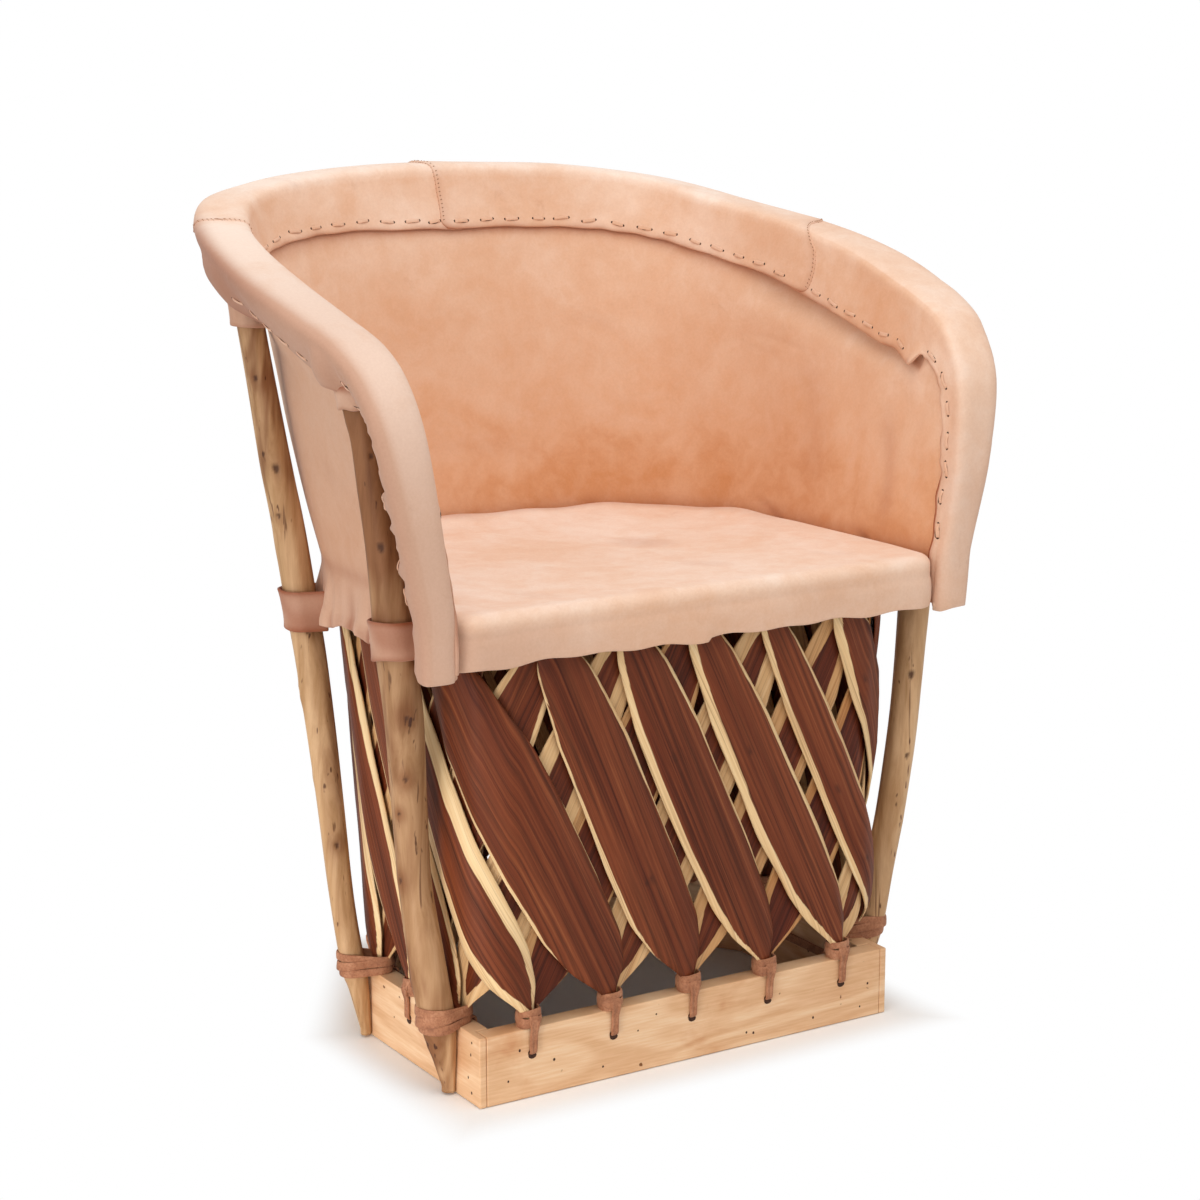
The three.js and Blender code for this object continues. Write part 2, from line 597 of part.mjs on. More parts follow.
// A leather strap round a post, whose two ends pass through slits in the hides to the hoop
function strap(post, grow) {
  const { point, outward, along } = seatFrame(post.side * post.row);
  const half = [...Array(arcSteps / 2 + 1).keys()].map((i) => (2 * Math.PI * i) / arcSteps);
  const outline = (z, reach) => {
    const arc = roundPost(post, z, gap + reach, half);
    const [wide, , centre] = arc[0];
    const end = point.clone().sub(centre).dot(outward) - seatLeather - Math.max(0, grow);
    return [[wide, end], ...arc, [-wide, end]].map(([side, out]) => (
      upright(centre.clone().addScaledVector(along, -side).addScaledVector(outward, out), z)));
  };
  const levels = [strapFoot - grow, postStrapHeight, strapFoot + strapHeight + grow];
  const face = (reach) => {
    const rings = levels.map((z) => outline(z, reach));
    return rings[0].map((start, i) => rings.map((ring) => ring[i]));
  };
  return slab(face(strapLeather + grow), face(-grow));
}

// The seat: a bent hoop, and a hide over it that sags a little and hangs down outside it
function seatHide() {
  const outline = seatOutline(seatCornerRadius);
  const centre = new THREE.Vector2(0, (seatBackReach - seatFrontReach) / 2);
  const edge = seatLeather * 1.5;
  const inside = seatLeather + gap + hoopThickness;
  const foot = seatTop - seatPanelHeight;
  const ring = (inset, share, z) => offsetOutline(outline, -inset).map((point) => {
    const drawn = point.clone().lerp(centre, share);
    return new THREE.Vector3(drawn.x, drawn.y, z);
  });
  const under = seatTop - seatLeather;
  return rod([
    ring(inside, seatSagShare, seatTop - seatSag), ring(inside, 0, seatTop), ring(edge, 0, seatTop),
    ring(0, 0, seatTop - edge), ring(0, 0, foot), ring(seatLeather, 0, foot), ring(seatLeather, 0, under),
    ring(inside, 0, under), ring(inside, seatSagShare, under - seatSag),
  ]);
}

function seatHoop() {
  const outline = seatOutline(seatCornerRadius);
  const top = seatTop - seatLeather - gap;
  const face = (inset) => offsetOutline(outline, -inset).map(({ x, y }) => (
    [top - hoopHeight, top].map((z) => new THREE.Vector3(x, y, z))));
  return slab(face(seatLeather + gap), face(seatLeather + gap + hoopThickness), true);
}

// The boards meet at mitres, but for the front ones, where a lip of each side board covers the end
function boardOutlines() {
  const inner = offsetOutline(baseOuter, -boardThickness);
  const frontY = -baseFrontReach;
  const frontInner = frontY + boardThickness;
  const lipX = baseHalfWidth - cornerLip;
  const innerX = baseHalfWidth - boardThickness;
  const corner = (outline, i) => [outline[i].x, outline[i].y];
  const trimmed = (i) => {
    const along = baseOuter[i + 1].clone().sub(baseOuter[i]).setLength(gap);
    return [[baseOuter[i], 1], [baseOuter[i + 1], -1], [inner[i + 1], -1], [inner[i], 1]]
      .map(([point, way]) => [point.x + way * along.x, point.y + way * along.y]);
  };
  const side = [[baseHalfWidth, frontY], corner(baseOuter, 2), corner(inner, 2), [innerX, frontInner + gap],
    [lipX, frontInner + gap], [lipX, frontY]];
  const front = [[-lipX + gap, frontY], [lipX - gap, frontY], [lipX - gap, frontInner], [-lipX + gap, frontInner]];
  return {
    front_board: front, right_side_board: side, right_rear_board: trimmed(2), rear_board: trimmed(3),
    left_rear_board: trimmed(4), left_side_board: mirrored(side),
  };
}

// The frame of a tie: its middle on the barrel over the board, the way along the board and the way out
function tieFrame(index) {
  const share = tieShare(index);
  const middle = barrelPoint(share, slatFoot, 0);
  const out = barrelPoint(share, slatFoot, 1).sub(middle);
  const along = new THREE.Vector3().crossVectors(up, out);
  return (side, outward, z) => upright(middle.clone().addScaledVector(along, side).addScaledVector(out, outward), z);
}

function tieBlock(place, halfSide, near, far, foot, top) {
  const corners = [[-halfSide, near], [halfSide, near], [halfSide, far], [-halfSide, far]];
  return rod([foot, top].map((z) => corners.map(([side, out]) => place(side, out, z))));
}

const innerFace = slatBoardInset - boardThickness;

function lashHole(index) {
  const place = tieFrame(index);
  const ends = [slatBoardInset + cutOverrun / 3, innerFace - cutOverrun / 3];
  return rod(ends.map((out) => [...Array(8).keys()].map((i) => {
    const angle = (Math.PI * (i + 0.5)) / 4;
    return place(lashHoleRadius * Math.cos(angle), out, lashHoleHeight + lashHoleRadius * Math.sin(angle));
  })));
}

// The knot at a tie: a band of thong round the crossed tips of two slats, and round a post beside them
const knotReach = slatReach + 2 * gap;
const fullTurn = [...Array(arcSteps).keys()].map((i) => (2 * Math.PI * i) / arcSteps);

function knot(index, post) {
  const place = tieFrame(index);
  const section = (z, level, grow) => {
    const lean = barrelPoint(tieShare(index), z, 0).sub(place(0, 0, z));
    const [half, reach] = [knotHalfLength + grow, knotReach + grow];
    const tips = [[-half, -reach], [half, -reach], [half, reach], [-half, reach]]
      .map(([side, out]) => place(side, out, z).add(lean));
    const turn = post ? roundPost(post, z, gap + grow, fullTurn) : [];
    const round = turn.map(([x, y, centre]) => new THREE.Vector3(centre.x + x, centre.y + y, z));
    return [...tips, ...round].map(({ x, y }) => [x, y, level]);
  };
  const [foot, top] = [slatFoot, slatFoot + knotHeight];
  const around = (grow, overrun) => wasm.Manifold.hull([[foot, foot - overrun], [foot, foot], [tieHeight, tieHeight],
    [top, top], [top, top + overrun]].flatMap(([z, level]) => section(z, level, grow)));
  return around(thongThickness, 0).subtract(around(0, cutOverrun));
}

// One long thong laces all the ties: it runs along the inside of the boards, climbs over them to each
// knot, and at the ties without a post comes down the outside to a hole and goes back in
function lashing() {
  const runFoot = lashHoleHeight - thongWidth / 2;
  const runTop = lashHoleHeight + thongWidth / 2;
  const runInset = boardThickness + gap;
  const inside = innerFace - gap;
  const overTop = slatFoot + thongThickness;
  const face = slatBoardInset + gap;
  const half = thongWidth / 2;
  const [runInner, runOuter] = [runInset + thongThickness, runInset].map((inset) => (
    offsetOutline(baseOuter, -inset).map((point) => [runFoot, runTop].map((z) => upright(point, z)))));
  const pieces = [solidOf(slab(runOuter, runInner, true))];
  for (let i = 0; i < slatCount; i += 1) {
    const place = tieFrame(i);
    const post = postAtTie(i);
    const add = (halfSide, near, far, foot, top) => pieces.push(solidOf(tieBlock(place, halfSide, near, far, foot, top)));
    pieces.push(knot(i, post));
    add(half, inside - thongThickness, -knotReach - gap, slatFoot, overTop);
    add(half, inside - thongThickness, inside, runFoot + gap, overTop);
    if (!post) {
      add(half, face, face + thongThickness, runFoot, overTop + thongThickness);
      add(lashPlug / 2, inside - thongThickness / 2, face + thongThickness / 2, lashHoleHeight - lashPlug / 2,
        lashHoleHeight + lashPlug / 2);
    }
  }
  return geometryOf(wasm.Manifold.union(pieces));
}

function addBase() {
  const holes = [...Array(slatCount).keys()].filter((i) => !postAtTie(i)).map(lashHole);
  for (const [name, outline] of Object.entries(boardOutlines())) {
    addPiece(name, cut(prism(outline, 0, boardHeight), holes), wood);
  }
}

function addPosts() {
  const base = prism(offsetOutline(baseOuter, gap).map(({ x, y }) => [x, y]), -cutOverrun, boardHeight + gap);
  const grownRail = rail(gap);
  for (const post of posts) addPiece(post.name, cut(postBody(post, 0), [base, grownRail]), branch);
  for (const post of posts) addPiece(post.name.replace('post', 'strap'), strap(post, 0), thong);
}

function addSeatAndBack() {
  const slits = posts.map((post) => strap(post, gap));
  const sockets = posts.map((post) => postBody(post, gap));
  const [left, right] = rimSeamRows;
  addPiece('seat_hoop', seatHoop(), branch);
  addPiece('seat_hide', cut(seatHide(), slits), leather);
  addPiece('back_hide', cut(backHide(), slits), leather);
  addPiece('rim_rail', rail(0), branch);
  addPiece('left_rim_leather', cut(bandStrip(-lastNode, left - seamRoom), sockets), leather);
  addPiece('rear_rim_leather', cut(bandStrip(left, right), sockets), leather);
  addPiece('right_rim_leather', cut(bandStrip(right + seamRoom, lastNode), sockets), leather);
}

addBase();
addPosts();
addSlats();
addPiece('slat_lashing', lashing(), thong);
addSeatAndBack();

export default chair;
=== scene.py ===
import math

import bmesh
import bpy
import numpy as np
from mathutils import Matrix


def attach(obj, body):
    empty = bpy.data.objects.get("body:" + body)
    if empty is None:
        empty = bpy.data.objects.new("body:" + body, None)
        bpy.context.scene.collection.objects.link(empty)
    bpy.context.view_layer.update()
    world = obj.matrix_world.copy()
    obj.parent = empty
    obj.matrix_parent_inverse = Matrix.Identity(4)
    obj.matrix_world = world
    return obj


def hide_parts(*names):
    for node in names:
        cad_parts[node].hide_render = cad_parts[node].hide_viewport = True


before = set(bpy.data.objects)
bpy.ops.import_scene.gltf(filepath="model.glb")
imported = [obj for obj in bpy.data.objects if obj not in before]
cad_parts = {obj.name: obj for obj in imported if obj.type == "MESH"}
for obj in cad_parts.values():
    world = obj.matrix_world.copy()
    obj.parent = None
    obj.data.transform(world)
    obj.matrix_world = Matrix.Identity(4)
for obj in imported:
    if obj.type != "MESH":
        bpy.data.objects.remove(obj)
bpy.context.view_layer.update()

# A barrel armchair of split cedar slats, peeled branches and stretched leather. Shapes are worked out in
# millimetres in the model's own frame and made in metres. Rows of the wall and nodes of the rim are counted
# from the back centre to both arm fronts, as in the model.
MM = 0.001

board_height, board_thickness = 66.0, 20.0
base_half_width, base_front, base_side_rear = 227.0, 240.5, -18.5
base_back_half, base_back = 105.0, 176.5
seat_top, seat_panel, seat_leather, seat_sag = 458.0, 47.0, 2.5, 6.0
seat_front, seat_front_half, seat_middle_half, seat_middle_line = 268.0, 259.5, 252.0, -100.0
seat_back, seat_corner, seat_power = 144.0, 22.0, 2.8
hoop_thick, hoop_height = 10.0, 41.0
rim_height, arm_drop, wall_half, wall_back, wall_bow = 806.0, 145.0, 301.0, 237.0, 2.5
shell_leather, shell_foot, band_foot, band_half, band_leather = 3.0, 410.0, 408.0, 29.5, 2.5
inner_hem, outer_hem = 70.0, 58.0
gap, leather_room, hem_room = 0.35, 0.7, 0.9
post_radius, post_seat_reach, post_foot_reach, strap_foot, strap_height = 15.0, 25.0, 16.0, 403.0, 36.0
slat_thickness, slat_layer_gap, slat_hoop_room, slat_top, slat_half = 4.6, 3.6, 22.0, 438.0, 37.0
slat_inset, tie_height, hole_height = 7.5, 75.0, 42.0
last_row, last_node, round_rows = 9, 13, 6

wall_top_shares = np.array([
    [0, 1, 0], [0.392, 0.968, 0.024], [0.626, 0.885, 0.07], [0.786, 0.76, 0.145], [0.893, 0.513, 0.26],
    [0.965, 0.173, 0.37], [1, -0.274, 0.53], [0.986, -0.628, 0.7], [0.971, -0.86, 0.83], [0.965, -1.152, 1]])
wall_side_shares = np.array([[0.36, 0.35], [0.67, 0.75], [1.04, 1]])
rim_route_shares = np.array([
    [0, 1, 0.71, 1, 1], [1, 1, 0.75, 1, 1], [2, 1, 0.8, 1, 1], [3, 1, 0.85, 1, 1], [4, 1, 0.88, 1, 1],
    [5, 1, 0.93, 1, 1], [6, 1, 1, 1, 1], [7, 1, 0.99, 0.92, 1], [8, 1, 0.93, 0.72, 0.95],
    [8.5, 0.955, 0.865, 0.56, 0.9], [8.86, 0.82, 0.815, 0.45, 0.85], [9, 0.573, 0.73, 0.38, 0.82],
    [8.99, 0.344, 0.645, 0.33, 0.8], [8.93, 0, 0.54, 0.24, 0.78]])


# ---------------------------------------------------------------- curves

def unit(v):
    """Each vector divided by its length."""
    return v / np.maximum(np.linalg.norm(v, axis=-1, keepdims=True), 1e-9)


def grids(*values):
    """The values as arrays of one common shape."""
    return np.broadcast_arrays(*(np.asarray(value, float) for value in values))


def spline(knots, place):
    """Smooth curve through evenly spaced knots, read at a place in knots from the first: between two knots a
    cubic whose slopes are half the step between each knot's neighbours, drawn on straight past both ends."""
    knots = np.asarray(knots, float)
    ends = np.concatenate([[2 * knots[0] - knots[1]], knots, [2 * knots[-1] - knots[-2]]])
    place = np.clip(np.asarray(place, float), 0, len(knots) - 1)
    i = np.minimum(place.astype(int), len(knots) - 2)
    t = (place - i)[..., None]
    a, b, c, d = ends[i], ends[i + 1], ends[i + 2], ends[i + 3]
    m, n = 0.5 * (c - a), 0.5 * (d - b)
    return b + m * t + (3 * (c - b) - 2 * m - n) * t ** 2 + (2 * (b - c) + m + n) * t ** 3


def ripple(seed, *places):
    """Soft unevenness of about one up and down: the mean of eight sines over the places, each turned and
    stretched by its own seeded numbers."""
    random = np.random.default_rng(seed)
    total = 0.0
    for _ in range(8):
        turn = sum(random.normal(0, 1) * np.asarray(place, float) for place in places)
        total = total + np.sin(turn * random.uniform(0.7, 1.5) + random.uniform(0, 2 * np.pi))
    return total / 2.8


def smooth(x, low, high):
    """From 0 at low to 1 at high: three squares of the share less two cubes."""
    share = np.clip((np.asarray(x, float) - low) / (high - low), 0, 1)
    return share * share * (3 - 2 * share)


def bump(x, middle, half):
    """A smooth hill of height one over a place: e to the minus of the squared distance in halves."""
    return np.exp(-((np.asarray(x, float) - middle) / half) ** 2)


def oval(v, power):
    """A sine or cosine carried to a power, with its sign kept."""
    return np.sign(v) * np.abs(v) ** power


def arc(start, elbow, end, share):
    """A curve that is quadratic in its share, from a start towards an elbow and on to an end."""
    return (1 - share) ** 2 * start + 2 * share * (1 - share) * elbow + share ** 2 * end


def both_sides(half):
    """A half curve with its mirror image in front of it."""
    other = half[1:][::-1].copy()
    other[:, 0] *= -1
    return np.concatenate([other, half])


def seat_knots():
    """The seat's edge by rows: an oval, x and y being the half axes times sine and cosine to a power below
    one, and then flared sides."""
    angle = np.pi / 2 * np.arange(round_rows + 1) / round_rows
    x = seat_middle_half * np.sin(angle) ** (2 / seat_power)
    y = seat_middle_line + (seat_back - seat_middle_line) * np.abs(np.cos(angle)) ** (2 / seat_power)
    side = wall_side_shares[:, 0]
    x = np.concatenate([x, seat_middle_half + (seat_front_half - seat_middle_half) * side])
    y = np.concatenate([y, seat_middle_line + (-seat_front - seat_middle_line) * side])
    return both_sides(np.stack([x, y], -1))


SEAT = seat_knots()
WALL_TOP = both_sides(np.stack([wall_top_shares[:, 0] * wall_half, wall_top_shares[:, 1] * wall_back,
                                rim_height - wall_top_shares[:, 2] * arm_drop], -1))


def seat_frame(row):
    """Point, way along and way out of the seat's edge at a row."""
    at = lambda r: spline(SEAT, np.clip(r, -last_row, last_row) + last_row)
    along = unit(at(row + 0.02) - at(row - 0.02))
    return at(row), along, np.stack([-along[..., 1], along[..., 0]], -1)


def wall(row, z, offset=0.0):
    """Point of the wall at a row and height: on a straight line from the seat's edge to the top edge, bowed
    out by a flat parabola, then offset square to the wall in plan."""
    row, z, offset = grids(row, z, offset)

    def at(r):
        top = spline(WALL_TOP, r + last_row)
        point, _, out = seat_frame(r)
        room = np.interp(np.abs(r), [0, 6, 7, 8, 9], [0, 0, *wall_side_shares[:, 1]])
        room = room * (2 * gap + band_leather)
        foot = point + out * (leather_room + shell_leather / 2 + room)[..., None]
        share = np.maximum(0, (z - seat_top) / (top[..., 2] - seat_top))[..., None]
        return foot + (top[..., :2] - foot) * share

    along = unit(at(np.minimum(row + 0.02, last_row)) - at(np.maximum(row - 0.02, -last_row)))
    out = np.stack([-along[..., 1], along[..., 0]], -1)
    share = (z - seat_top) / (rim_height - arm_drop - seat_top)
    bow = wall_bow * 4 * np.maximum(0, share * (1 - share))
    return np.concatenate([at(row) + out * (offset + bow)[..., None], z[..., None]], -1)


def rim_knots():
    """The rim's route: row, height, share of half width and shares of the two hems at each node."""
    row, height, width, inner, outer = rim_route_shares.T
    top = spline(WALL_TOP, row + last_row)[:, 2]
    return both_sides(np.stack([row, band_foot + (top - band_foot) * height, width, inner, outer], -1))


RIM = rim_knots()


class Station:
    """Places along the rim's route: row and height of the crest, half width, hems, and the way from the
    crest into the wall, in rows and in height for each millimetre."""

    def __init__(self, node):
        self.node = np.asarray(node, float)
        place = spline(RIM, self.node + last_node)
        self.row, self.z = place[..., 0], place[..., 1]
        self.half = place[..., 2] * band_half
        self.inner, self.outer = place[..., 3] * inner_hem, place[..., 4] * outer_hem
        ahead = (spline(RIM, np.clip(self.node + 0.052, -last_node, last_node) + last_node)
                 - spline(RIM, np.clip(self.node - 0.052, -last_node, last_node) + last_node))
        near, far = np.maximum(self.row - 0.05, -last_row), np.minimum(self.row + 0.05, last_row)
        per_row = np.linalg.norm(wall(near, self.z) - wall(far, self.z), axis=-1) / (far - near)
        side = ahead[..., 0] * per_row
        length = np.hypot(side, ahead[..., 1])
        self.in_row, self.in_height = ahead[..., 1] / length / per_row, -side / length


shell_offset = band_leather + gap + shell_leather / 2


def band(station, across, depth):
    """Point of the rim's section: across counts outwards from the band's middle, depth from the crest."""
    row = np.clip(station.row + station.in_row * depth, -last_row, last_row)
    return wall(row, station.z + station.in_height * depth, station.half - shell_offset + across)


def rounded_outline(corners, steps):
    """Closed plan outline with round corners, from points that each carry the radius of their corner."""
    out = []
    count = len(corners)
    for i, (x, y, radius) in enumerate(corners):
        here = np.array([x, y], float)
        if radius == 0:
            out.append(here[None])
            continue
        before = unit(np.array(corners[i - 1][:2], float) - here)
        after = unit(np.array(corners[(i + 1) % count][:2], float) - here)
        half = np.arccos(np.clip(before @ after, -1, 1)) / 2
        centre = here + unit(before + after) * radius / np.sin(half)
        start = here + before * radius / np.tan(half) - centre
        end = here + after * radius / np.tan(half) - centre
        turn = np.arctan2(start[0] * end[1] - start[1] * end[0], start @ end) * np.arange(steps + 1) / steps
        out.append(centre + np.stack([start[0] * np.cos(turn) - start[1] * np.sin(turn),
                                      start[0] * np.sin(turn) + start[1] * np.cos(turn)], -1))
    return np.concatenate(out)


def offset_outline(outline, distance):
    """The outline moved outwards square to itself, corners stretched to stay sharp."""
    before, after = unit(outline - np.roll(outline, 1, 0)), unit(np.roll(outline, -1, 0) - outline)
    both = before + after
    normal = unit(np.stack([both[:, 1], -both[:, 0]], -1))
    stretch = np.cos(np.arccos(np.minimum(1, (before * after).sum(-1))) / 2)
    return outline + normal * (distance / stretch)[:, None]


def along_line(points):
    """Distance of each point from the first, along the line through them."""
    return np.concatenate([[0], np.cumsum(np.linalg.norm(np.diff(points, axis=0), axis=1))])


class Loop:
    """A closed outline read by a share of its length from its first point."""

    def __init__(self, outline):
        self.closed = np.concatenate([outline, outline[:1]])
        self.reach = along_line(self.closed)
        self.length = self.reach[-1]

    def at(self, share):
        want = np.mod(share, 1) * self.length
        return np.stack([np.interp(want, self.reach, self.closed[:, k]) for k in (0, 1)], -1)


def seat_outline(corner, per_row=2, corner_steps=4):
    """The seat's plan: a straight front, two round corners and the rest of its edge by rows."""
    rows = round_rows - np.arange(2 * round_rows * per_row + 1) / per_row
    edge = [(x, y, 0) for x, y in seat_frame(rows)[0]]
    return rounded_outline([(0, -seat_front, 0), (seat_front_half, -seat_front, corner), *edge,
                            (-seat_front_half, -seat_front, corner)], corner_steps)


base_corners = np.array([[0, -base_front], [base_half_width, -base_front], [base_half_width, base_side_rear],
                         [base_back_half, base_back], [-base_back_half, base_back],
                         [-base_half_width, base_side_rear], [-base_half_width, -base_front]])
slat_foot = board_height + gap
slat_reach = slat_layer_gap / 2 + slat_thickness
hoop_foot = seat_top - seat_leather - gap - hoop_height
slat_corner_radii = [0, 40, 60, 42, 42, 60, 40]
BARREL_FOOT = Loop(offset_outline(rounded_outline(
    [(x, y, r) for (x, y), r in zip(base_corners, slat_corner_radii)], 6), -slat_inset))
barrel_inset = seat_leather + gap + hoop_thick + leather_room + slat_reach
BARREL_TOP = Loop(offset_outline(seat_outline(95), -barrel_inset))


def barrel(share, z, offset=0.0):
    """Point of the barrel of slats: from an outline over the boards to one inside the hoop, by height."""
    share, z, offset = grids(share, z, offset)
    height = np.minimum(1, (z - slat_foot) / (hoop_foot - slat_hoop_room - slat_foot))[..., None]
    at = lambda s: BARREL_FOOT.at(s) + (BARREL_TOP.at(s) - BARREL_FOOT.at(s)) * height
    along = unit(at(share + 1 / 400) - at(share - 1 / 400))
    plan = at(share) + np.stack([along[..., 1], -along[..., 0]], -1) * offset[..., None]
    return np.concatenate([plan, z[..., None]], -1)


tie_shares = [0, 0.117, 0.234, 0.335, 0.45, 0.541, 0.66, 0.78, 0.9, 1]
slat_count = 18


def tie_share(index):
    """A tie's share of the barrel's length, counted from the front; one half mirrors the other."""
    turn = index % slat_count
    return tie_shares[turn] / 2 if turn <= slat_count / 2 else 1 - tie_shares[slat_count - turn] / 2


def tie_frame(index):
    """Middle of a tie on the barrel over the board, the way along the board and the way out."""
    middle = barrel(tie_share(index), slat_foot)
    out = barrel(tie_share(index), slat_foot, 1.0) - middle
    return middle, np.array([-out[1], out[0], 0.0]), out


def tie_place(index, side, outward, z):
    """Point by its distances along the board and outwards from a tie's middle, and its height."""
    middle, along, out = tie_frame(index)
    side, outward, z = grids(side, outward, z)
    point = middle + along * side[..., None] + out * outward[..., None]
    point[..., 2] = z
    return point


# ---------------------------------------------------------------- making meshes

class Shape:
    """Grids of points put together as one piece. Each grid carries places for the pattern that lies on the
    surface, in metres, and values at its points that the finish reads."""

    def __init__(self):
        self.points, self.faces, self.maps, self.values, self.count = [], [], [], {}, 0

    def add(self, grid, around=False, loop=False, ends=False, places=None, **values):
        """A grid of rows and columns: around joins the last column to the first, loop the last row to the
        first, and ends closes the first and last rows with a fan to their middle."""
        rows, columns = grid.shape[:2]
        i, j = np.meshgrid(np.arange(rows - 1 + loop), np.arange(columns - 1 + around), indexing="ij")
        corners = [(i, j), (i + 1, j), (i + 1, j + 1), (i, j + 1)]
        faces = np.stack([(a % rows) * columns + b % columns for a, b in corners], -1).reshape(-1, 4)
        if places is None:
            places = np.zeros((rows + loop, columns + around, 2))
        if around and places.shape[1] == columns:
            places = np.concatenate([places, places[:, :1]], 1)
        if loop and places.shape[0] == rows:
            places = np.concatenate([places, places[:1]], 0)
        spots = np.stack([places[a, b] for a, b in corners], -2).reshape(-1, 4, 2)
        points = grid.reshape(-1, 3)
        self.faces += (faces + self.count).tolist()
        self.maps.append(spots.reshape(-1, 2))
        full = {key: np.broadcast_to(value, (rows, columns)).reshape(-1) for key, value in values.items()}
        if ends:
            edge = np.arange(columns)
            for row, start in ((0, True), (rows - 1, False)):
                middle = len(points)
                points = np.concatenate([points, grid[row].mean(0)[None]])
                a, b = row * columns + edge, row * columns + np.roll(edge, -1)
                fan = np.stack([np.full(columns, middle), *((a, b) if start else (b, a))], -1)
                self.faces += (fan + self.count).tolist()
                self.maps.append(np.repeat(places[min(row, len(places) - 1), :columns], 3, 0))
                own = slice(row * columns, (row + 1) * columns)
                full = {key: np.append(value, value[own].mean()) for key, value in full.items()}
        for key in set(self.values) | set(full):
            before = self.values.get(key, np.zeros(self.count))
            self.values[key] = np.concatenate([before, full.get(key, np.zeros(len(points)))])
        self.points.append(points)
        self.count += len(points)

    def make(self, name, finish, slot, stands_for=()):
        """The shape as an object at the origin that rides on the chair's body."""
        mesh = bpy.data.meshes.new(name)
        mesh.from_pydata((np.concatenate(self.points) * MM).tolist(), [], self.faces)
        pattern = mesh.uv_layers.new(name="pattern")
        pattern.data.foreach_set("uv", np.concatenate(self.maps).astype(np.float32).ravel())
        for key, value in self.values.items():
            layer = mesh.attributes.new(key, "FLOAT", "POINT")
            layer.data.foreach_set("value", value.astype(np.float32))
        work = bmesh.new()
        work.from_mesh(mesh)
        bmesh.ops.remove_doubles(work, verts=work.verts, dist=1e-6)
        bmesh.ops.recalc_face_normals(work, faces=work.faces)
        work.to_mesh(mesh)
        work.free()
        mesh.polygons.foreach_set("use_smooth", np.ones(len(mesh.polygons), bool))
        mesh.materials.append(finish)
        piece = bpy.data.objects.new(name, mesh)
        bpy.context.scene.collection.objects.link(piece)
        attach(piece, "root")
        if stands_for:
            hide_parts(*stands_for)
        return piece


def drawn_on(grid, half, axis):
    """A middle surface drawn on past two opposite borders by a half round: by half the thickness times the
    sine of 45 and 90 degrees, while the thickness closes by their cosine."""
    grid, half = np.moveaxis(grid, axis, 0), np.moveaxis(half, axis, 0)
    rows, halves = [grid], [half]
    for edge, inner in ((0, 1), (-1, -2)):
        way = unit(grid[edge] - grid[inner])
        for turn in (np.pi / 4, np.pi / 2):
            row, thick = grid[edge] + way * half[edge][:, None] * np.sin(turn), half[edge] * np.cos(turn)
            place = 0 if edge == 0 else len(rows)
            rows.insert(place, row[None])
            halves.insert(place, thick[None])
    return np.moveaxis(np.concatenate(rows), 0, axis), np.moveaxis(np.concatenate(halves), 0, axis)


def widened(values, axis):
    """Values for the rows that the half rounds add: the border's own, repeated."""
    first, last = np.take(values, [0], axis), np.take(values, [-1], axis)
    return np.concatenate([first, first, values, last, last], axis)


def hide(shape, middle, thick, places, loop=False, outer_dull=0, **values):
    """Leather: two faces, half its thickness to each side of a middle surface along its normals, that meet
    in a half round at every cut edge. The outer face may be duller by outer_dull."""
    rows, columns = middle.shape[:2]
    half = np.broadcast_to(np.asarray(thick, float) / 2, (rows, columns))
    values = {key: np.broadcast_to(value, (rows, columns)) for key, value in values.items()}
    for axis in (1,) if loop else (0, 1):
        middle, half = drawn_on(middle, half, axis)
        places = widened(places, axis)
        values = {key: widened(value, axis) for key, value in values.items()}
    if loop:
        closed = np.concatenate([middle[-1:], middle, middle[:1]])
        down = np.gradient(closed, axis=0)[1:-1]
    else:
        down = np.gradient(middle, axis=0)
    normal = unit(np.cross(down, np.gradient(middle, axis=1)))
    for way in (1, -1):
        face = dict(values)
        if way > 0 and "dull" in values:
            face["dull"] = np.clip(values["dull"] + outer_dull, 0, 1)
        shape.add(middle + way * normal * half[..., None], loop=loop, places=places, **face)


def thong(shape, path, normal, width, thick, loop=False, seed=0, **values):
    """A flat thong along a path: a section square to the path and its normal, whose half width is carried by
    a cosine to the power 0.6 and its half thickness by a sine to the power 0.75."""
    path, normal = np.asarray(path, float), unit(np.asarray(normal, float))
    if loop:
        along = np.gradient(np.concatenate([path[-1:], path, path[:1]]), axis=0)[1:-1]
    else:
        along = np.gradient(path, axis=0)
    across = unit(np.cross(unit(along), normal))
    normal = np.cross(across, unit(along))
    turn = 2 * np.pi * np.arange(14) / 14
    side, rise = oval(np.cos(turn), 0.6), oval(np.sin(turn), 0.75)
    width, thick = (np.broadcast_to(np.asarray(v, float), len(path))[:, None, None] for v in (width, thick))
    grid = (path[:, None] + across[:, None] * side[None, :, None] * width / 2
            + normal[:, None] * rise[None, :, None] * thick / 2)
    reach = along_line(path) * MM + seed * 0.37
    places = np.stack(np.broadcast_arrays(turn[None] * 0.002, reach[:, None]), -1)
    shape.add(grid, around=True, loop=loop, ends=not loop, places=places, **values)


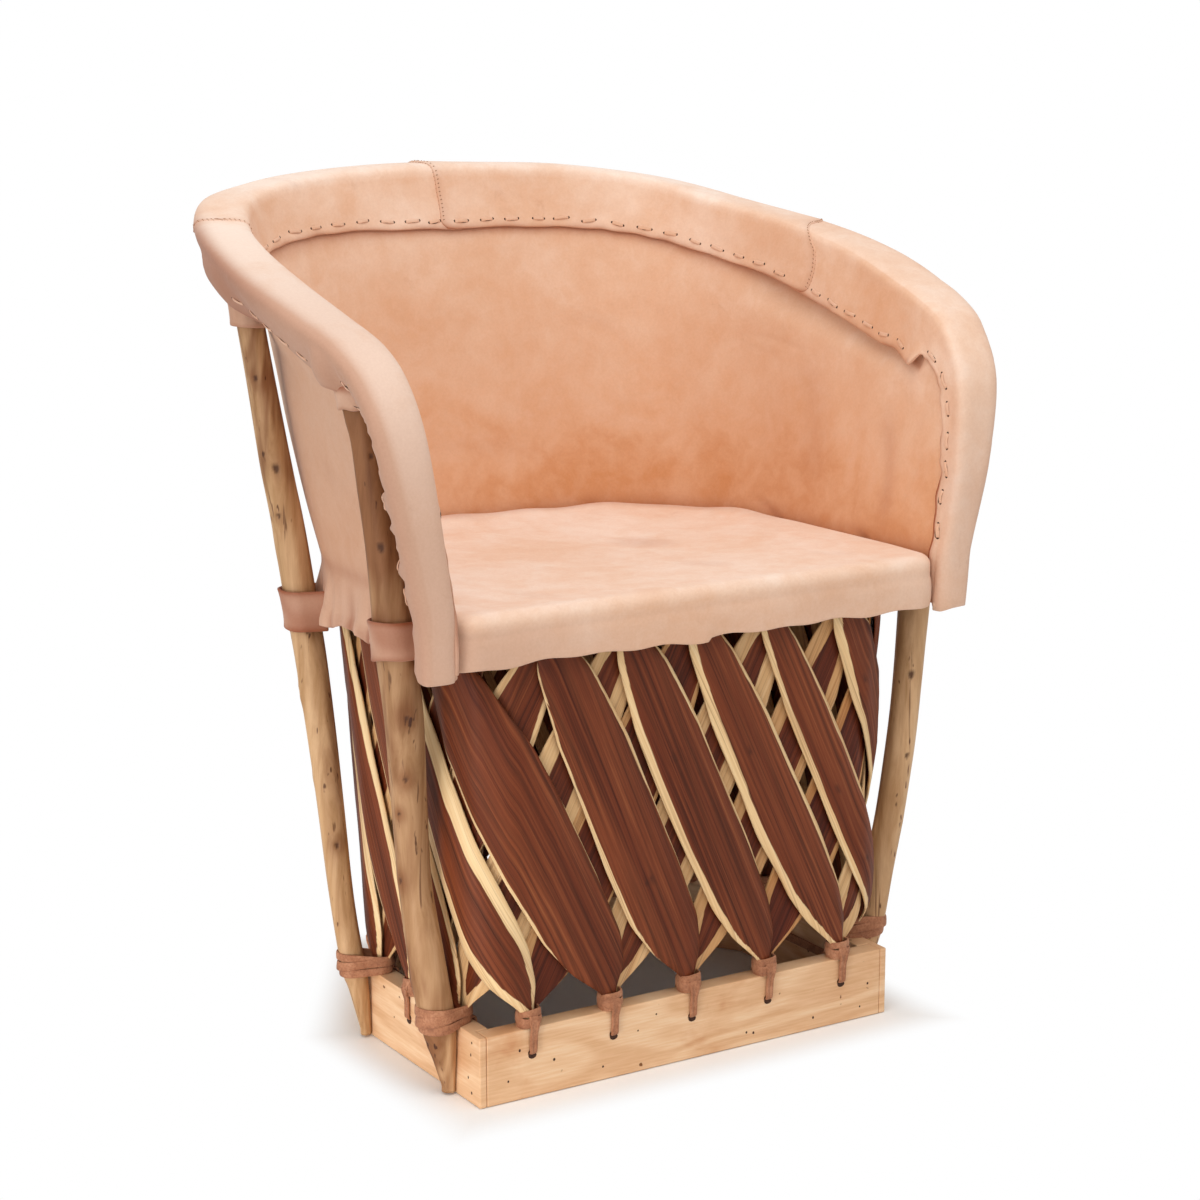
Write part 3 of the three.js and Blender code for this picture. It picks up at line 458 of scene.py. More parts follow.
def studs(shape, points, normals, along, long, wide, high, sink=0.2, **values):
    """Small domes, one at each point: rings whose reach is a cosine and whose height is a sine of the way
    up, on an oval long and wide across, sunk a little into the surface."""
    across = unit(np.cross(normals, along))
    along = np.cross(across, normals)
    up = np.linspace(0, np.pi / 2, 4)
    turn = 2 * np.pi * np.arange(10) / 10
    reach, rise = np.cos(up)[:, None, None], np.sin(up)[:, None, None]
    cosine, sine = np.cos(turn)[None, :, None], np.sin(turn)[None, :, None]
    for point, normal, a, b in zip(points, normals, along, across):
        grid = (point + reach * (a * cosine * long / 2 + b * sine * wide / 2)
                + normal * (rise * high - sink))
        shape.add(grid[:-1], around=True, ends=True, **values)


# ---------------------------------------------------------------- finishes

def colour(text):
    """The linear colour of six hexadecimal digits."""
    value = np.array([int(text[i:i + 2], 16) for i in (0, 2, 4)]) / 255
    linear = np.where(value <= 0.04045, value / 12.92, ((value + 0.055) / 1.055) ** 2.4)
    return (*linear.tolist(), 1.0)


class Finish:
    """A material and short ways to put its nodes together."""

    def __init__(self, name, roughness, sheen=0.0):
        self.material = bpy.data.materials.new(name)
        self.material.use_nodes = True
        self.tree = self.material.node_tree
        self.shader = self.tree.nodes["Principled BSDF"]
        self.shader.inputs["Roughness"].default_value = roughness
        self.shader.inputs["Specular IOR Level"].default_value = 0.35
        self.shader.inputs["Sheen Weight"].default_value = sheen
        self.height = None

    def node(self, kind, settings=None, **inputs):
        """A new node with its settings; each input is a number, a colour or another node's output."""
        made = self.tree.nodes.new(kind)
        for key, value in (settings or {}).items():
            setattr(made, key, value)
        for key, value in inputs.items():
            numbered = key[0] == "_" and key[1:].isdigit()
            socket = made.inputs[int(key[1:]) if numbered else key.replace("_", " ")]
            if isinstance(value, bpy.types.NodeSocket):
                self.tree.links.new(value, socket)
            else:
                socket.default_value = value
        return made

    def place(self, stretch=(1, 1, 1), turn=(0, 0, 0), pattern=False):
        """Object coordinates in metres, or the piece's own pattern map, stretched and turned."""
        source = self.node("ShaderNodeTexCoord").outputs["UV" if pattern else "Object"]
        return self.node("ShaderNodeMapping", Vector=source, Scale=stretch, Rotation=turn).outputs[0]

    def noise(self, place, scale, detail=3.0, roughness=0.55, distortion=0.0):
        """Cloudy noise of about 0 to 1 at a place."""
        return self.node("ShaderNodeTexNoise", Vector=place, Scale=scale, Detail=detail, Roughness=roughness,
                         Distortion=distortion).outputs[0]

    def value(self, name):
        """A value that the piece carries at its points."""
        return self.node("ShaderNodeAttribute", {"attribute_name": name}).outputs["Fac"]

    def range(self, value, low, high, to_low=0.0, to_high=1.0):
        """A value carried smoothly from one range to another."""
        return self.node("ShaderNodeMapRange", {"interpolation_type": "SMOOTHSTEP"}, Value=value,
                         From_Min=low, From_Max=high, To_Min=to_low, To_Max=to_high).outputs[0]

    def sum(self, first, second, how="ADD"):
        """Two numbers added, or put together in another way."""
        return self.node("ShaderNodeMath", {"operation": how}, _0=first, _1=second).outputs[0]

    def mix(self, share, first, second, how="MIX"):
        """Two colours mixed by a share."""
        made = self.node("ShaderNodeMix", {"data_type": "RGBA", "blend_type": how})
        for key, value in (("Factor_Float", share), ("A_Color", first), ("B_Color", second)):
            socket = next(s for s in made.inputs if s.identifier == key)
            if isinstance(value, bpy.types.NodeSocket):
                self.tree.links.new(value, socket)
            else:
                socket.default_value = value
        return next(s for s in made.outputs if s.identifier == "Result_Color")

    def ramp(self, value, *stops):
        """Colours read by a value between stops, each a place and a colour."""
        made = self.node("ShaderNodeValToRGB", Fac=value)
        elements = made.color_ramp.elements
        while len(elements) < len(stops):
            elements.new(0.5)
        for element, (place, text) in zip(elements, stops):
            element.position = place
            element.color = colour(text)
        return made.outputs[0]

    def raise_by(self, height, distance, strength=1.0):
        """Fine relief in metres on top of the relief given before."""
        inputs = dict(Height=height, Distance=distance, Strength=strength)
        if self.height is not None:
            inputs["Normal"] = self.height
        self.height = self.node("ShaderNodeBump", **inputs).outputs[0]

    def done(self, base, roughness=None):
        """The material with its colour, relief and roughness joined up."""
        self.tree.links.new(base, self.shader.inputs["Base Color"])
        if roughness is not None:
            self.tree.links.new(roughness, self.shader.inputs["Roughness"])
        if self.height is not None:
            self.tree.links.new(self.height, self.shader.inputs["Normal"])
        return self.material


def leather_finish():
    """Natural leather: tone runs from pale to deep orange tan, the pale crest of the rim being partly a
    painted highlight; dull turns it a greyer pink; and shade darkens it with painted shade in creases, at
    hems and in gaps, and with stains."""
    f = Finish("natural_leather", 0.62, 0.08)
    plain = f.place()
    clouds = f.noise(plain, 13, 3, 0.55, 0.7)
    mottles = f.noise(plain, 48, 5, 0.65, 0.4)
    fine = f.noise(plain, 420, 3, 0.6)
    tone = f.sum(f.value("tone"), f.range(clouds, 0.3, 0.7, -0.09, 0.09))
    tone = f.sum(tone, f.range(mottles, 0.3, 0.7, -0.06, 0.06))
    base = f.ramp(tone, (0.0, "f6dfce"), (0.25, "eecbb2"), (0.5, "e5b898"), (0.75, "dfa983"), (1.0, "d2905f"))
    base = f.mix(f.value("dull"), base, colour("cda48b"))
    base = f.mix(f.range(fine, 0.25, 0.75, 0.0, 0.09), base, colour("b98a68"), "MULTIPLY")
    # Painted shade from the shade value, with stain blotches from noise, darkens the colour
    marks = f.sum(f.value("shade"), f.range(f.noise(plain, 15, 6, 0.7, 1.2), 0.62, 0.8, 0.0, 0.22), "MAXIMUM")
    base = f.mix(marks, base, colour("b4764c"), "MULTIPLY")
    pores = f.node("ShaderNodeTexVoronoi", Vector=plain, Scale=900.0).outputs[0]
    f.raise_by(pores, 0.00006, 0.35)
    f.raise_by(f.noise(plain, 180, 5, 0.7), 0.0004, 0.3)
    f.raise_by(f.noise(plain, 26, 4, 0.6, 0.8), 0.0022, 0.3)
    return f.done(base, f.range(mottles, 0.2, 0.8, 0.55, 0.72))


def branch_finish():
    """Peeled branch: tan wood with long brown streaks, fine cracks, and dark knots where the piece says."""
    f = Finish("peeled_branch", 0.6)
    long = f.place((1, 1, 0.09))
    streaks = f.noise(long, 70, 6, 0.65, 0.5)
    broad = f.noise(f.place((1, 1, 0.2)), 22, 3, 0.6, 0.6)
    base = f.ramp(streaks, (0.25, "93673f"), (0.42, "b48a5f"), (0.6, "cba379"), (0.8, "dcb88e"))
    # This value browns the wood with age, and on the posts it also carries painted shade high up under the
    # arms
    age = f.sum(f.value("age"), f.range(broad, 0.35, 0.7, -0.35, 0.5))
    base = f.mix(f.range(age, 0.1, 1.0, 0.0, 0.85), base, colour("a0754e"), "MULTIPLY")
    cracks = f.range(f.noise(f.place((1, 1, 0.03)), 190, 2, 0.5), 0.66, 0.72)
    base = f.mix(f.sum(cracks, 0.7, "MULTIPLY"), base, colour("7c5533"), "MULTIPLY")
    flecks = f.range(f.noise(f.place((1, 1, 0.35)), 130, 2, 0.5), 0.68, 0.74)
    base = f.mix(f.sum(flecks, 0.85, "MULTIPLY"), base, colour("6d4527"), "MULTIPLY")
    base = f.mix(f.sum(f.value("knot"), 0.9, "MULTIPLY"), base, colour("4a2814"))
    f.raise_by(streaks, 0.0009, 0.4)
    f.raise_by(f.noise(long, 320, 3, 0.6), 0.0003, 0.4)
    return f.done(base)


def cedar_finish():
    """Split cedar: edge is the distance in millimetres inside the dark heart; the sapwood outside it is
    cream. Lines of grain follow the slat's own length."""
    f = Finish("split_cedar", 0.5)
    f.shader.inputs["Specular IOR Level"].default_value = 0.2
    lines = f.noise(f.place((120, 1.7, 1), pattern=True), 1.9, 6, 0.68, 0.45)
    broad = f.noise(f.place((30, 1.1, 1), pattern=True), 1.5, 3, 0.6, 0.6)
    hair = f.noise(f.place((420, 4, 1), pattern=True), 1.2, 3, 0.6)
    heart = f.ramp(lines, (0.28, "431d0e"), (0.42, "66331b"), (0.55, "803f22"), (0.68, "935430"),
                   (0.8, "ab7445"))
    heart = f.mix(f.range(broad, 0.3, 0.7, 0.0, 0.6), heart, colour("a6765a"), "MULTIPLY")
    sap = f.ramp(lines, (0.25, "d6ac7a"), (0.5, "e9c795"), (0.75, "f5dcb0"))
    sap = f.mix(f.range(broad, 0.5, 0.75, 0.0, 0.5), sap, colour("d8ab7c"), "MULTIPLY")
    inside = f.sum(f.value("edge"), f.range(lines, 0.2, 0.8, -1.2, 1.2))
    base = f.mix(f.range(inside, -0.45, 0.45), sap, heart)
    base = f.mix(f.range(hair, 0.5, 0.72, 0.0, 0.5), base, colour("8a5a3c"), "MULTIPLY")
    # Painted shade on the inner slats, a share of it given by each slat
    base = f.mix(f.value("worn"), base, colour("c79a6c"), "MULTIPLY")
    base = f.mix(f.value("knot"), base, colour("3b1c10"))
    f.raise_by(lines, 0.0012, 0.35)
    f.raise_by(hair, 0.0004, 0.45)
    return f.done(base, f.range(lines, 0.2, 0.8, 0.62, 0.45))


def board_finish():
    """Planed pale board: flowing lines along the boards from a stretched noise read in bands, darker
    speckles and faint stains."""
    f = Finish("pale_board", 0.5)
    flow = f.place((0.55, 0.55, 2.6))
    field = f.noise(flow, 5.0, 2, 0.45, 0.6)
    bands = f.node("ShaderNodeMath", {"operation": "SINE"}, _0=f.sum(field, 48.0, "MULTIPLY")).outputs[0]
    fibre = f.noise(f.place((0.06, 0.06, 1)), 420, 3, 0.6)
    base = f.ramp(f.sum(f.range(bands, -1.0, 1.0, 0.0, 0.55), f.range(fibre, 0.3, 0.7, 0.0, 0.45)),
                  (0.0, "d6a67a"), (0.35, "dfb389"), (0.7, "e6bd94"), (1.0, "ebc8a2"))
    stain = f.noise(f.place((0.6, 0.6, 1.2)), 13, 4, 0.6, 0.8)
    base = f.mix(f.range(stain, 0.5, 0.75, 0.0, 0.5), base, colour("d9a878"), "MULTIPLY")
    specks = f.range(f.noise(f.place(), 95, 1, 0.4), 0.77, 0.8)
    base = f.mix(specks, base, colour("7a4b26"))
    f.raise_by(bands, 0.0002, 0.25)
    f.raise_by(fibre, 0.0003, 0.3)
    return f.done(base)


def thong_finish():
    """Brown thong: soft mottling and fine cracks."""
    f = Finish("brown_thong", 0.7, 0.05)
    plain = f.place()
    mottles = f.noise(plain, 70, 5, 0.65, 0.3)
    base = f.ramp(mottles, (0.25, "8d5b40"), (0.5, "a97150"), (0.75, "c08a68"))
    base = f.mix(f.range(f.noise(plain, 500, 3, 0.6), 0.4, 0.7, 0.0, 0.4), base, colour("a87f68"), "MULTIPLY")
    f.raise_by(f.noise(plain, 260, 5, 0.7), 0.0006, 0.45)
    f.raise_by(f.noise(plain, 60, 4, 0.6, 0.5), 0.0016, 0.35)
    return f.done(base)


def dark_finish():
    """Painted shade inside holes, painted shadow under the hem stitches, and the nail heads' own dark, a
    little lighter in spots.
    """
    f = Finish("dark_hole_and_shadow", 0.8)
    base = f.ramp(f.noise(f.place(), 600, 2), (0.3, "2a160c"), (0.7, "4b2b1a"))
    return f.done(base)


def thread_finish():
    """Brown sewing thread in two soft shades."""
    f = Finish("seam_thread", 0.75)
    plain = f.place()
    base = f.ramp(f.noise(plain, 800, 2), (0.3, "8c5a3c"), (0.7, "b07c59"))
    f.raise_by(f.noise(plain, 900, 2), 0.0002, 0.5)
    return f.done(base)


leather, branch, cedar = leather_finish(), branch_finish(), cedar_finish()
board, brown_thong, dark, thread = board_finish(), thong_finish(), dark_finish(), thread_finish()


# ---------------------------------------------------------------- camera, light, floor

# The photograph's viewpoint: its place in metres, and how far it looks down and round from the left
camera_place, camera_down, camera_round, camera_lens = (-1.3237, -2.2052, 0.9556), 12.31, 31.89, 80.7

camera = bpy.data.objects.new("camera", bpy.data.cameras.new("camera"))
bpy.context.scene.collection.objects.link(camera)
camera.location = camera_place
camera.rotation_euler = np.radians((90 - camera_down, 0, -camera_round))
camera.data.lens = camera_lens
camera.data.sensor_width = 36
bpy.context.scene.camera = camera
bpy.context.scene.view_settings.view_transform = "Standard"


def area_lamp(name, place, aim, size, power, spread=math.pi):
    """A square soft lamp at a place, turned to face a point, with light as wide as spread."""
    lamp = bpy.data.objects.new(name, bpy.data.lights.new(name, "AREA"))
    lamp.data.size, lamp.data.energy, lamp.data.spread = size, power, spread
    bpy.context.scene.collection.objects.link(lamp)
    lamp.location = place
    back = unit(np.array(place, float) - np.array(aim, float))
    right = unit(np.cross([0, 0, 1], back))
    up = np.cross(back, right)
    matrix = np.eye(4)
    matrix[:3, 0], matrix[:3, 1], matrix[:3, 2], matrix[:3, 3] = right, up, back, place
    lamp.matrix_world = Matrix(matrix.tolist())


def studio_light():
    """A soft pale world that is white where it is seen, and three lamps."""
    world = bpy.data.worlds.new("studio")
    bpy.context.scene.world = world
    world.use_nodes = True
    tree = world.node_tree
    tree.nodes.clear()
    soft, white = tree.nodes.new("ShaderNodeBackground"), tree.nodes.new("ShaderNodeBackground")
    soft.inputs["Color"].default_value = (1, 0.985, 0.97, 1)
    soft.inputs["Strength"].default_value = 0.60
    white.inputs["Color"].default_value = (1, 1, 1, 1)
    white.inputs["Strength"].default_value = 1.0
    path, mix = tree.nodes.new("ShaderNodeLightPath"), tree.nodes.new("ShaderNodeMixShader")
    seen = path.outputs["Is Camera Ray"]
    for name in ("Is Glossy Ray", "Is Transmission Ray"):
        higher = tree.nodes.new("ShaderNodeMath")
        higher.operation = "MAXIMUM"
        tree.links.new(seen, higher.inputs[0])
        tree.links.new(path.outputs[name], higher.inputs[1])
        seen = higher.outputs[0]
    tree.links.new(seen, mix.inputs[0])
    tree.links.new(soft.outputs[0], mix.inputs[1])
    tree.links.new(white.outputs[0], mix.inputs[2])
    tree.links.new(mix.outputs[0], tree.nodes.new("ShaderNodeOutputWorld").inputs["Surface"])

    area_lamp("high_lamp", (-0.3, -1.1, 3.0), (0, -0.05, 0.55), size=2.6, power=45)
    area_lamp("left_lamp", (-2.7, -1.1, 0.9), (0, 0, 0.3), size=1.8, power=18)
    area_lamp("low_lamp", (-1.5, -0.75, 0.12), (-0.2, 0, 0.02), size=0.35, power=0.5, spread=math.radians(40))


def pale_floor():
    """A floor that is white beyond the contact shadow round the base."""
    mesh = bpy.data.meshes.new("floor")
    reach, level = 60, -0.0005
    corners = [(-reach, -reach, level), (reach, -reach, level), (reach, reach, level), (-reach, reach, level)]
    mesh.from_pydata(corners, [], [(0, 1, 2, 3)])
    floor = bpy.data.objects.new("floor", mesh)
    bpy.context.scene.collection.objects.link(floor)
    f = Finish("pale_floor", 0.9)
    middle_y, half_depth = (base_back - base_front) / 2 * MM, (base_back + base_front) / 2 * MM
    slant = unit(np.array([base_back - base_side_rear, base_half_width - base_back_half]))
    slant_reach = slant @ [base_half_width, base_side_rear] * MM
    # How far a place lies outside the base, in metres: past its sides, past its front or back, and past
    # its slanting rear boards
    x, y, _ = f.node("ShaderNodeSeparateXYZ", Vector=f.place()).outputs
    side = f.sum(x, 0.0, "ABSOLUTE")
    beside = f.sum(side, base_half_width * MM, "SUBTRACT")
    before = f.sum(f.sum(f.sum(y, middle_y, "SUBTRACT"), 0.0, "ABSOLUTE"), half_depth, "SUBTRACT")
    slanting = f.sum(f.sum(side, slant[0], "MULTIPLY"), f.sum(y, slant[1], "MULTIPLY"))
    behind = f.sum(slanting, slant_reach, "SUBTRACT")
    apart = f.sum(f.sum(beside, before, "MAXIMUM"), behind, "MAXIMUM")
    glow = f.node("ShaderNodeEmission", Color=(1, 1, 1, 1), Strength=1.0)
    f.shader.inputs["Specular IOR Level"].default_value = 0.0
    base = f.ramp(f.noise(f.place(), 2.0), (0.4, "f2f1ef"), (0.6, "f4f3f1"))
    f.tree.links.new(base, f.shader.inputs["Base Color"])
    seen = f.node("ShaderNodeLightPath").outputs["Is Camera Ray"]
    share = f.sum(f.range(apart, 0.008, 0.065), seen, "MULTIPLY")
    both = f.node("ShaderNodeMixShader", _0=share, _1=f.shader.outputs[0], _2=glow.outputs[0])
    f.tree.links.new(both.outputs[0], f.tree.nodes["Material Output"].inputs["Surface"])
    mesh.materials.append(f.material)


studio_light()
pale_floor()


# ---------------------------------------------------------------- rim leather

crest_depth, crest_power = 11.0, 3.6
# Over the rim's section s runs from 0 at the inner hem to 1 at the outer one; the crest is between these
crest_start, crest_share, crest_end = 0.34, 0.32, 0.66
# Each seam as its node at the inner hem and at the outer one, how far the strip on top is lifted, and the
# way it lies from the seam
left_end, seam_left, seam_middle = (-last_node, -last_node), (-4.05, -4.05), (-0.04, -0.18)
seam_right, right_end = (5.55, 4.85), (last_node, last_node)
seam_lifts = {seam_left: 0.8, seam_middle: 1.8, seam_right: 1.2}
seam_ways = {seam_left: 1, seam_middle: 1, seam_right: -1}
seam_reach = 0.25
# How much deeper than its route the inner hem hangs at each node; below zero it is cut shorter
trim_nodes = [-4, -2, -1, 0, 1, 2, 3, 4, 5, 6, 7, 8, 9]
hem_trims = [-16, -14.5, -12, -5, -7, -9, -10, -13, -11, -6, -1, 0, 0]
corner_drop, left_drop, post_rise = 11, 8, 13
# Node of each post's top and half the width, in nodes, over which the leather hangs on it
post_nodes = {-7.66: 0.27, -5.1: 0.42, 0.0: 0.42, 5.1: 0.42, 7.7: 0.3}
post_cover, side_swell = 20.0, 8.0


def over_posts(node):
    """One where the leather hangs over a post, falling off beside it as e to the minus fourth power."""
    return sum(np.exp(-((node - post) / half) ** 4) for post, half in post_nodes.items())


def side_bulge(node):
    """How far the hide stands out under the outer hem between the posts of each side."""
    return side_swell * smooth(np.abs(node), 4.2, 5.2) * (1 - smooth(np.abs(node), 8.0, 9.0))


def rim_hems(node):
    """Depths of both hems with the slight waves of hand-cut leather. A corner hangs from the inner hem at
    the right arm front; the outer hem hangs lower before the rear left post and rides up over every post."""
    station = Station(node)
    n = station.node
    trim = np.interp(n, trim_nodes, hem_trims)
    corner = smooth(n, 7.4, 7.95) * (1 - smooth(n, 8.34, 8.66))
    scallop = smooth(np.abs(n), 8.6, 9.2) * 1.5 * ripple(16, n * 11)
    inner = station.inner + trim + 0.7 * ripple(11, n * 5) + corner_drop * corner + scallop
    waves = (1.0 + 2.2 * smooth(np.abs(n), 7.6, 8.6)) * ripple(12, n * 6)
    outer = station.outer + left_drop * bump(n, -6.5, 1.0) - post_rise * over_posts(n) + waves
    return station, inner, outer


def rim_point(node, s):
    """Middle of the rim's leather: straight up from the inner hem, over the crest as half a squared oval, and
    on an arc down to the outer hem on the hide. The hems are gathered at the arm fronts and curl at the foot,
    and a corner of the inner hem at the right arm is lifted."""
    node, s = grids(node, s)
    station, inner, outer = rim_hems(node)
    half = station.half - band_leather / 2
    crest = np.minimum(crest_depth, station.half * 0.8)
    rest = -station.half + 2 * shell_offset + band_leather / 2 + hem_room + side_bulge(node)
    rest = rest + over_posts(node) * (post_cover - rest)
    turn = np.pi * np.clip((s - crest_start) / crest_share, 0, 1)
    across = -half * oval(np.cos(turn), 2 / crest_power)
    depth = band_leather / 2 + (crest - band_leather / 2) * (1 - oval(np.sin(turn), 2 / crest_power))
    up = np.clip(s / crest_start, 0, 1)
    depth = np.where(s < crest_start, inner + (crest - inner) * up, depth)
    down = np.clip((s - crest_end) / (1 - crest_end), 0, 1)
    across = np.where(s > crest_end, arc(half, (half + rest) / 2 + 12, rest, down), across)
    depth = np.where(s > crest_end, arc(crest, (crest + outer) / 2, outer, down), depth)
    front = np.clip((np.abs(node) - 7.6) / 1.2, 0, 1)
    gather = front * smooth(s, 0.58, 0.85)
    across = across + gather * (2.4 * ripple(13, node * 11, s * 3) + 1.1 * ripple(17, node * 30))
    puff = np.sin(np.pi * np.clip((s - 0.30) / 0.4, 0, 1))
    depth = depth - 0.7 * puff * ripple(14, node * 2.2, s * 4)
    swell = (s < crest_start) * 0.7 * ripple(15, node * 3.5, s * 5) * np.sin(np.pi * up)
    lip = 0.9 * np.clip(1 - s / 0.05, 0, 1)
    lift = 7.0 * bump(node, 8.3, 0.26) * np.clip(1 - s / 0.16, 0, 1) ** 1.5 + lip
    foot = smooth(np.abs(node), 11.8, 13)
    curl = foot * (1.6 * ripple(18, s * 12, node * 2) - 3.0 * smooth(s, 0.6, 1.0))
    depth = depth + foot * 0.8 * ripple(19, s * 9)
    low = 5.0 * smooth(np.abs(node), 12.3, 13)
    return band(station, across + swell + curl - lift, depth) - low[..., None] * np.array([0, 0, 1.0])


def rim_normal(node, s):
    """Way out of the leather: along the rim crossed with the way over it."""
    node, s = grids(node, s)
    before, after = np.clip(node - 0.02, -last_node, last_node), np.clip(node + 0.02, -last_node, last_node)
    across = rim_point(node, np.minimum(s + 0.01, 1)) - rim_point(node, np.maximum(s - 0.01, 0))
    return unit(np.cross(rim_point(after, s) - rim_point(before, s), across))


def seam_at(seam, s):
    """Node of a seam at a place over the rim: from the inner hem to the outer one, with a slight curve."""
    first, last = seam
    over = np.clip((s - 0.3) / 0.5, 0, 1)
    return first + (last - first) * over + 0.025 * ripple(21, s * 9 + first)


def seam_lift(node):
    """How far the leather beside a seam is lifted by the strip under it: a share that falls off as e to the
    minus distance from the seam."""
    lift = 0
    for seam, way in seam_ways.items():
        past = way * (node - seam[0])
        lift = lift + np.where(past > -0.02, seam_lifts[seam] * np.exp(-np.maximum(past, 0) / seam_reach), 0)
    return lift


def rim_looks(node, s, edge):
    """Values of the rim for its finish: pale on the crest, partly a painted highlight of its top; dark at
    hems and cut edges, the cut edge with painted shade along it; painted shade on the left arm's outer face
    and a painted shadow in the slit beside the seat; and dull on the outer face and at both arm fronts, the
    left one above all."""
    crest = np.sin(np.pi * np.clip((s - 0.33) / 0.34, 0, 1)) ** 0.5 + 0 * node
    outer = np.clip((s - crest_end) / 0.1, 0, 1)
    # Painted shade along both hems, together with the dark cut edge
    hem = bump(s, 0, 0.035) + 0.9 * bump(s, 0, 0.012) + bump(s, 1, 0.03)
    side = bump(node, 7.0, 1.6) * (s < 0.4)
    # The crest's paler tone is partly a painted highlight of its top
    tone = (0.38 - 0.36 * crest + 0.16 * outer + 0.07 * ripple(22, node * 1.7, s * 3) + 0.2 * side
            + 0.28 * crest * smooth(node, 3.5, 6))
    shade = np.clip(0.30 * hem + 0.35 * edge, 0, 1) * (0.7 + 0.3 * ripple(23, node * 9, s * 4))
    left = smooth(-node, 4.0, 7.5) * (0.45 + 0.45 * smooth(-node, 8.5, 12))
    outside = smooth(s, 0.5, 0.63) * (0.35 + 0.6 * smooth(-node, 3.2, 4.6))
    dull = left + 0.45 * smooth(node, 9, 12) + outside
    # Painted shade on the left arm's outer face, and a painted shadow in the slit between the right arm's
    # band and the seat
    shaded = smooth(-node, 3.2, 4.6) * (1 - 0.6 * smooth(-node, 5.4, 7))
    slit_shadow = 0.8 * bump(s, 0, 0.035) * smooth(node, 11.2, 11.9)
    shade = np.clip(shade + 0.62 * outside * shaded + slit_shadow, 0, 1)
    return dict(tone=tone, shade=shade, dull=np.clip(dull, 0, 1))


def rim_strip(name, start, end, over_start, over_end, stands_for, flat, area):
    """One strip of the rim between two seams. Where it lies over its neighbour it is lifted by a share that
    falls off as e to the minus distance, and its corner at the inner hem is cut round; under a neighbour it
    runs on past the seam."""
    s = np.linspace(0, 1, 73)[None]
    first, last = seam_at(start, s), seam_at(end, s)
    round_off, run_on = 0.06 * np.clip(1 - s / 0.05, 0, 1) ** 2, 0.2
    if over_start:
        first = first + round_off
    elif start != left_end:
        first = first - run_on
    if over_end:
        last = last - round_off
    elif end != right_end:
        last = last + run_on
    count = int((np.mean(last) - np.mean(first)) * 13)
    share = np.linspace(0, 1, count)[:, None]
    node = np.clip(first + (last - first) * share, -last_node, last_node)
    end_node = last_node - 0.07 * smooth(s, 0.2, 0.0)
    node = np.where(np.abs(node) > 12, np.sign(node) * (12 + (np.abs(node) - 12) * (end_node - 12)), node)
    lift = edge = np.zeros_like(node)
    if over_start:
        lift = lift + seam_lifts[start] * np.exp(-((node - first) / seam_reach))
        edge = edge + np.exp(-((node - first) / 0.05))
    if over_end:
        lift = lift + seam_lifts[end] * np.exp(-((last - node) / seam_reach))
        edge = edge + np.exp(-((last - node) / 0.05))
    middle = rim_point(node, s) + rim_normal(node, s) * lift[..., None]
    places = np.stack([node * 0.06, s * 0.2 + 0 * node], -1)
    shape = Shape()
    hide(shape, middle, band_leather, places, **rim_looks(node, s, edge))
    piece = shape.make(name, leather, "leather", [stands_for])


# Each strip's name, its two seams, whether it lies on top at each, the node it stands for, and its flat
# length, girth and area
rim_strips = [
    ("left_rim_leather_strip", left_end, seam_left, False, False,
     "left_rim_leather", (0.665, 0.173), 0.0942),
    ("rear_left_rim_leather_strip", seam_left, seam_middle, True, False,
     "rear_rim_leather", (0.358, 0.174), 0.0597),
    ("rear_right_rim_leather_strip", seam_middle, seam_right, True, True,
     "rear_rim_leather", (0.488, 0.182), 0.0816),
    ("right_rim_leather_strip", seam_right, right_end, False, False,
     "right_rim_leather", (0.558, 0.173), 0.0776)]
for strip in rim_strips:
    rim_strip(*strip)


# ---------------------------------------------------------------- stitches

def hem_stitches(thongs, holes, s_at, pitch, length, shadow_width, seed, toward, skip):
    """Running stitches along the line s_at over the rim: each is a thong on a path over the leather from one
    hole to the next, its height a half sine to the power one half, over a dark flat oval a little toward the
    hem that paints its shadow, with a dark hole at each end that paints the shade inside it."""
    random = np.random.default_rng(seed)
    samples, first_place, most, end_room = 1400, -13.0, 60, 12
    node = np.linspace(-last_node + 0.5, last_node - 0.5, samples)
    reach = along_line(rim_point(node, s_at(node)))
    centre = reach[samples // 2] + first_place + pitch * np.arange(-most, most)
    t = np.linspace(0, 1, 13)
    for place in centre[(centre > end_room) & (centre < reach[-1] - end_room)]:
        place = place + random.uniform(-2, 2)
        half = length / 2 * random.uniform(0.82, 1.15)
        if skip(np.interp(place, reach, node)):
            continue
        nodes = np.interp(place + half * (2 * t - 1), reach, node)
        s = s_at(nodes) + random.uniform(-0.006, 0.006) + random.uniform(-0.008, 0.008) * (2 * t - 1)
        point, normal = rim_point(nodes, s), rim_normal(nodes, s)
        point = point + normal * seam_lift(nodes)[:, None]
        down = unit(np.cross(np.gradient(point, axis=0), normal)) * toward
        rise = band_leather / 2 + 1.25 * np.sin(np.pi * t) ** 0.5 - 0.35
        width = 3.5 * random.uniform(0.85, 1.15)
        thong(thongs, point + normal * rise[:, None], normal, width, 1.3, seed=place, tone=0.42, shade=0.12)
        way = unit(point[1:2] - point[0:1])
        top = point + normal * band_leather / 2
        # A dark oval under the thong, a little toward the hem, is its painted shadow; the dark studs at its
        # ends paint the shade inside its holes
        studs(holes, (top[6] + down[6] * 0.7)[None], normal[6:7], way,
              long=length + 1.6, wide=shadow_width, high=0.3)
        studs(holes, top[[0, -1]], normal[[0, -1]], np.repeat(way, 2, 0), long=4.2, wide=3.5, high=0.5)


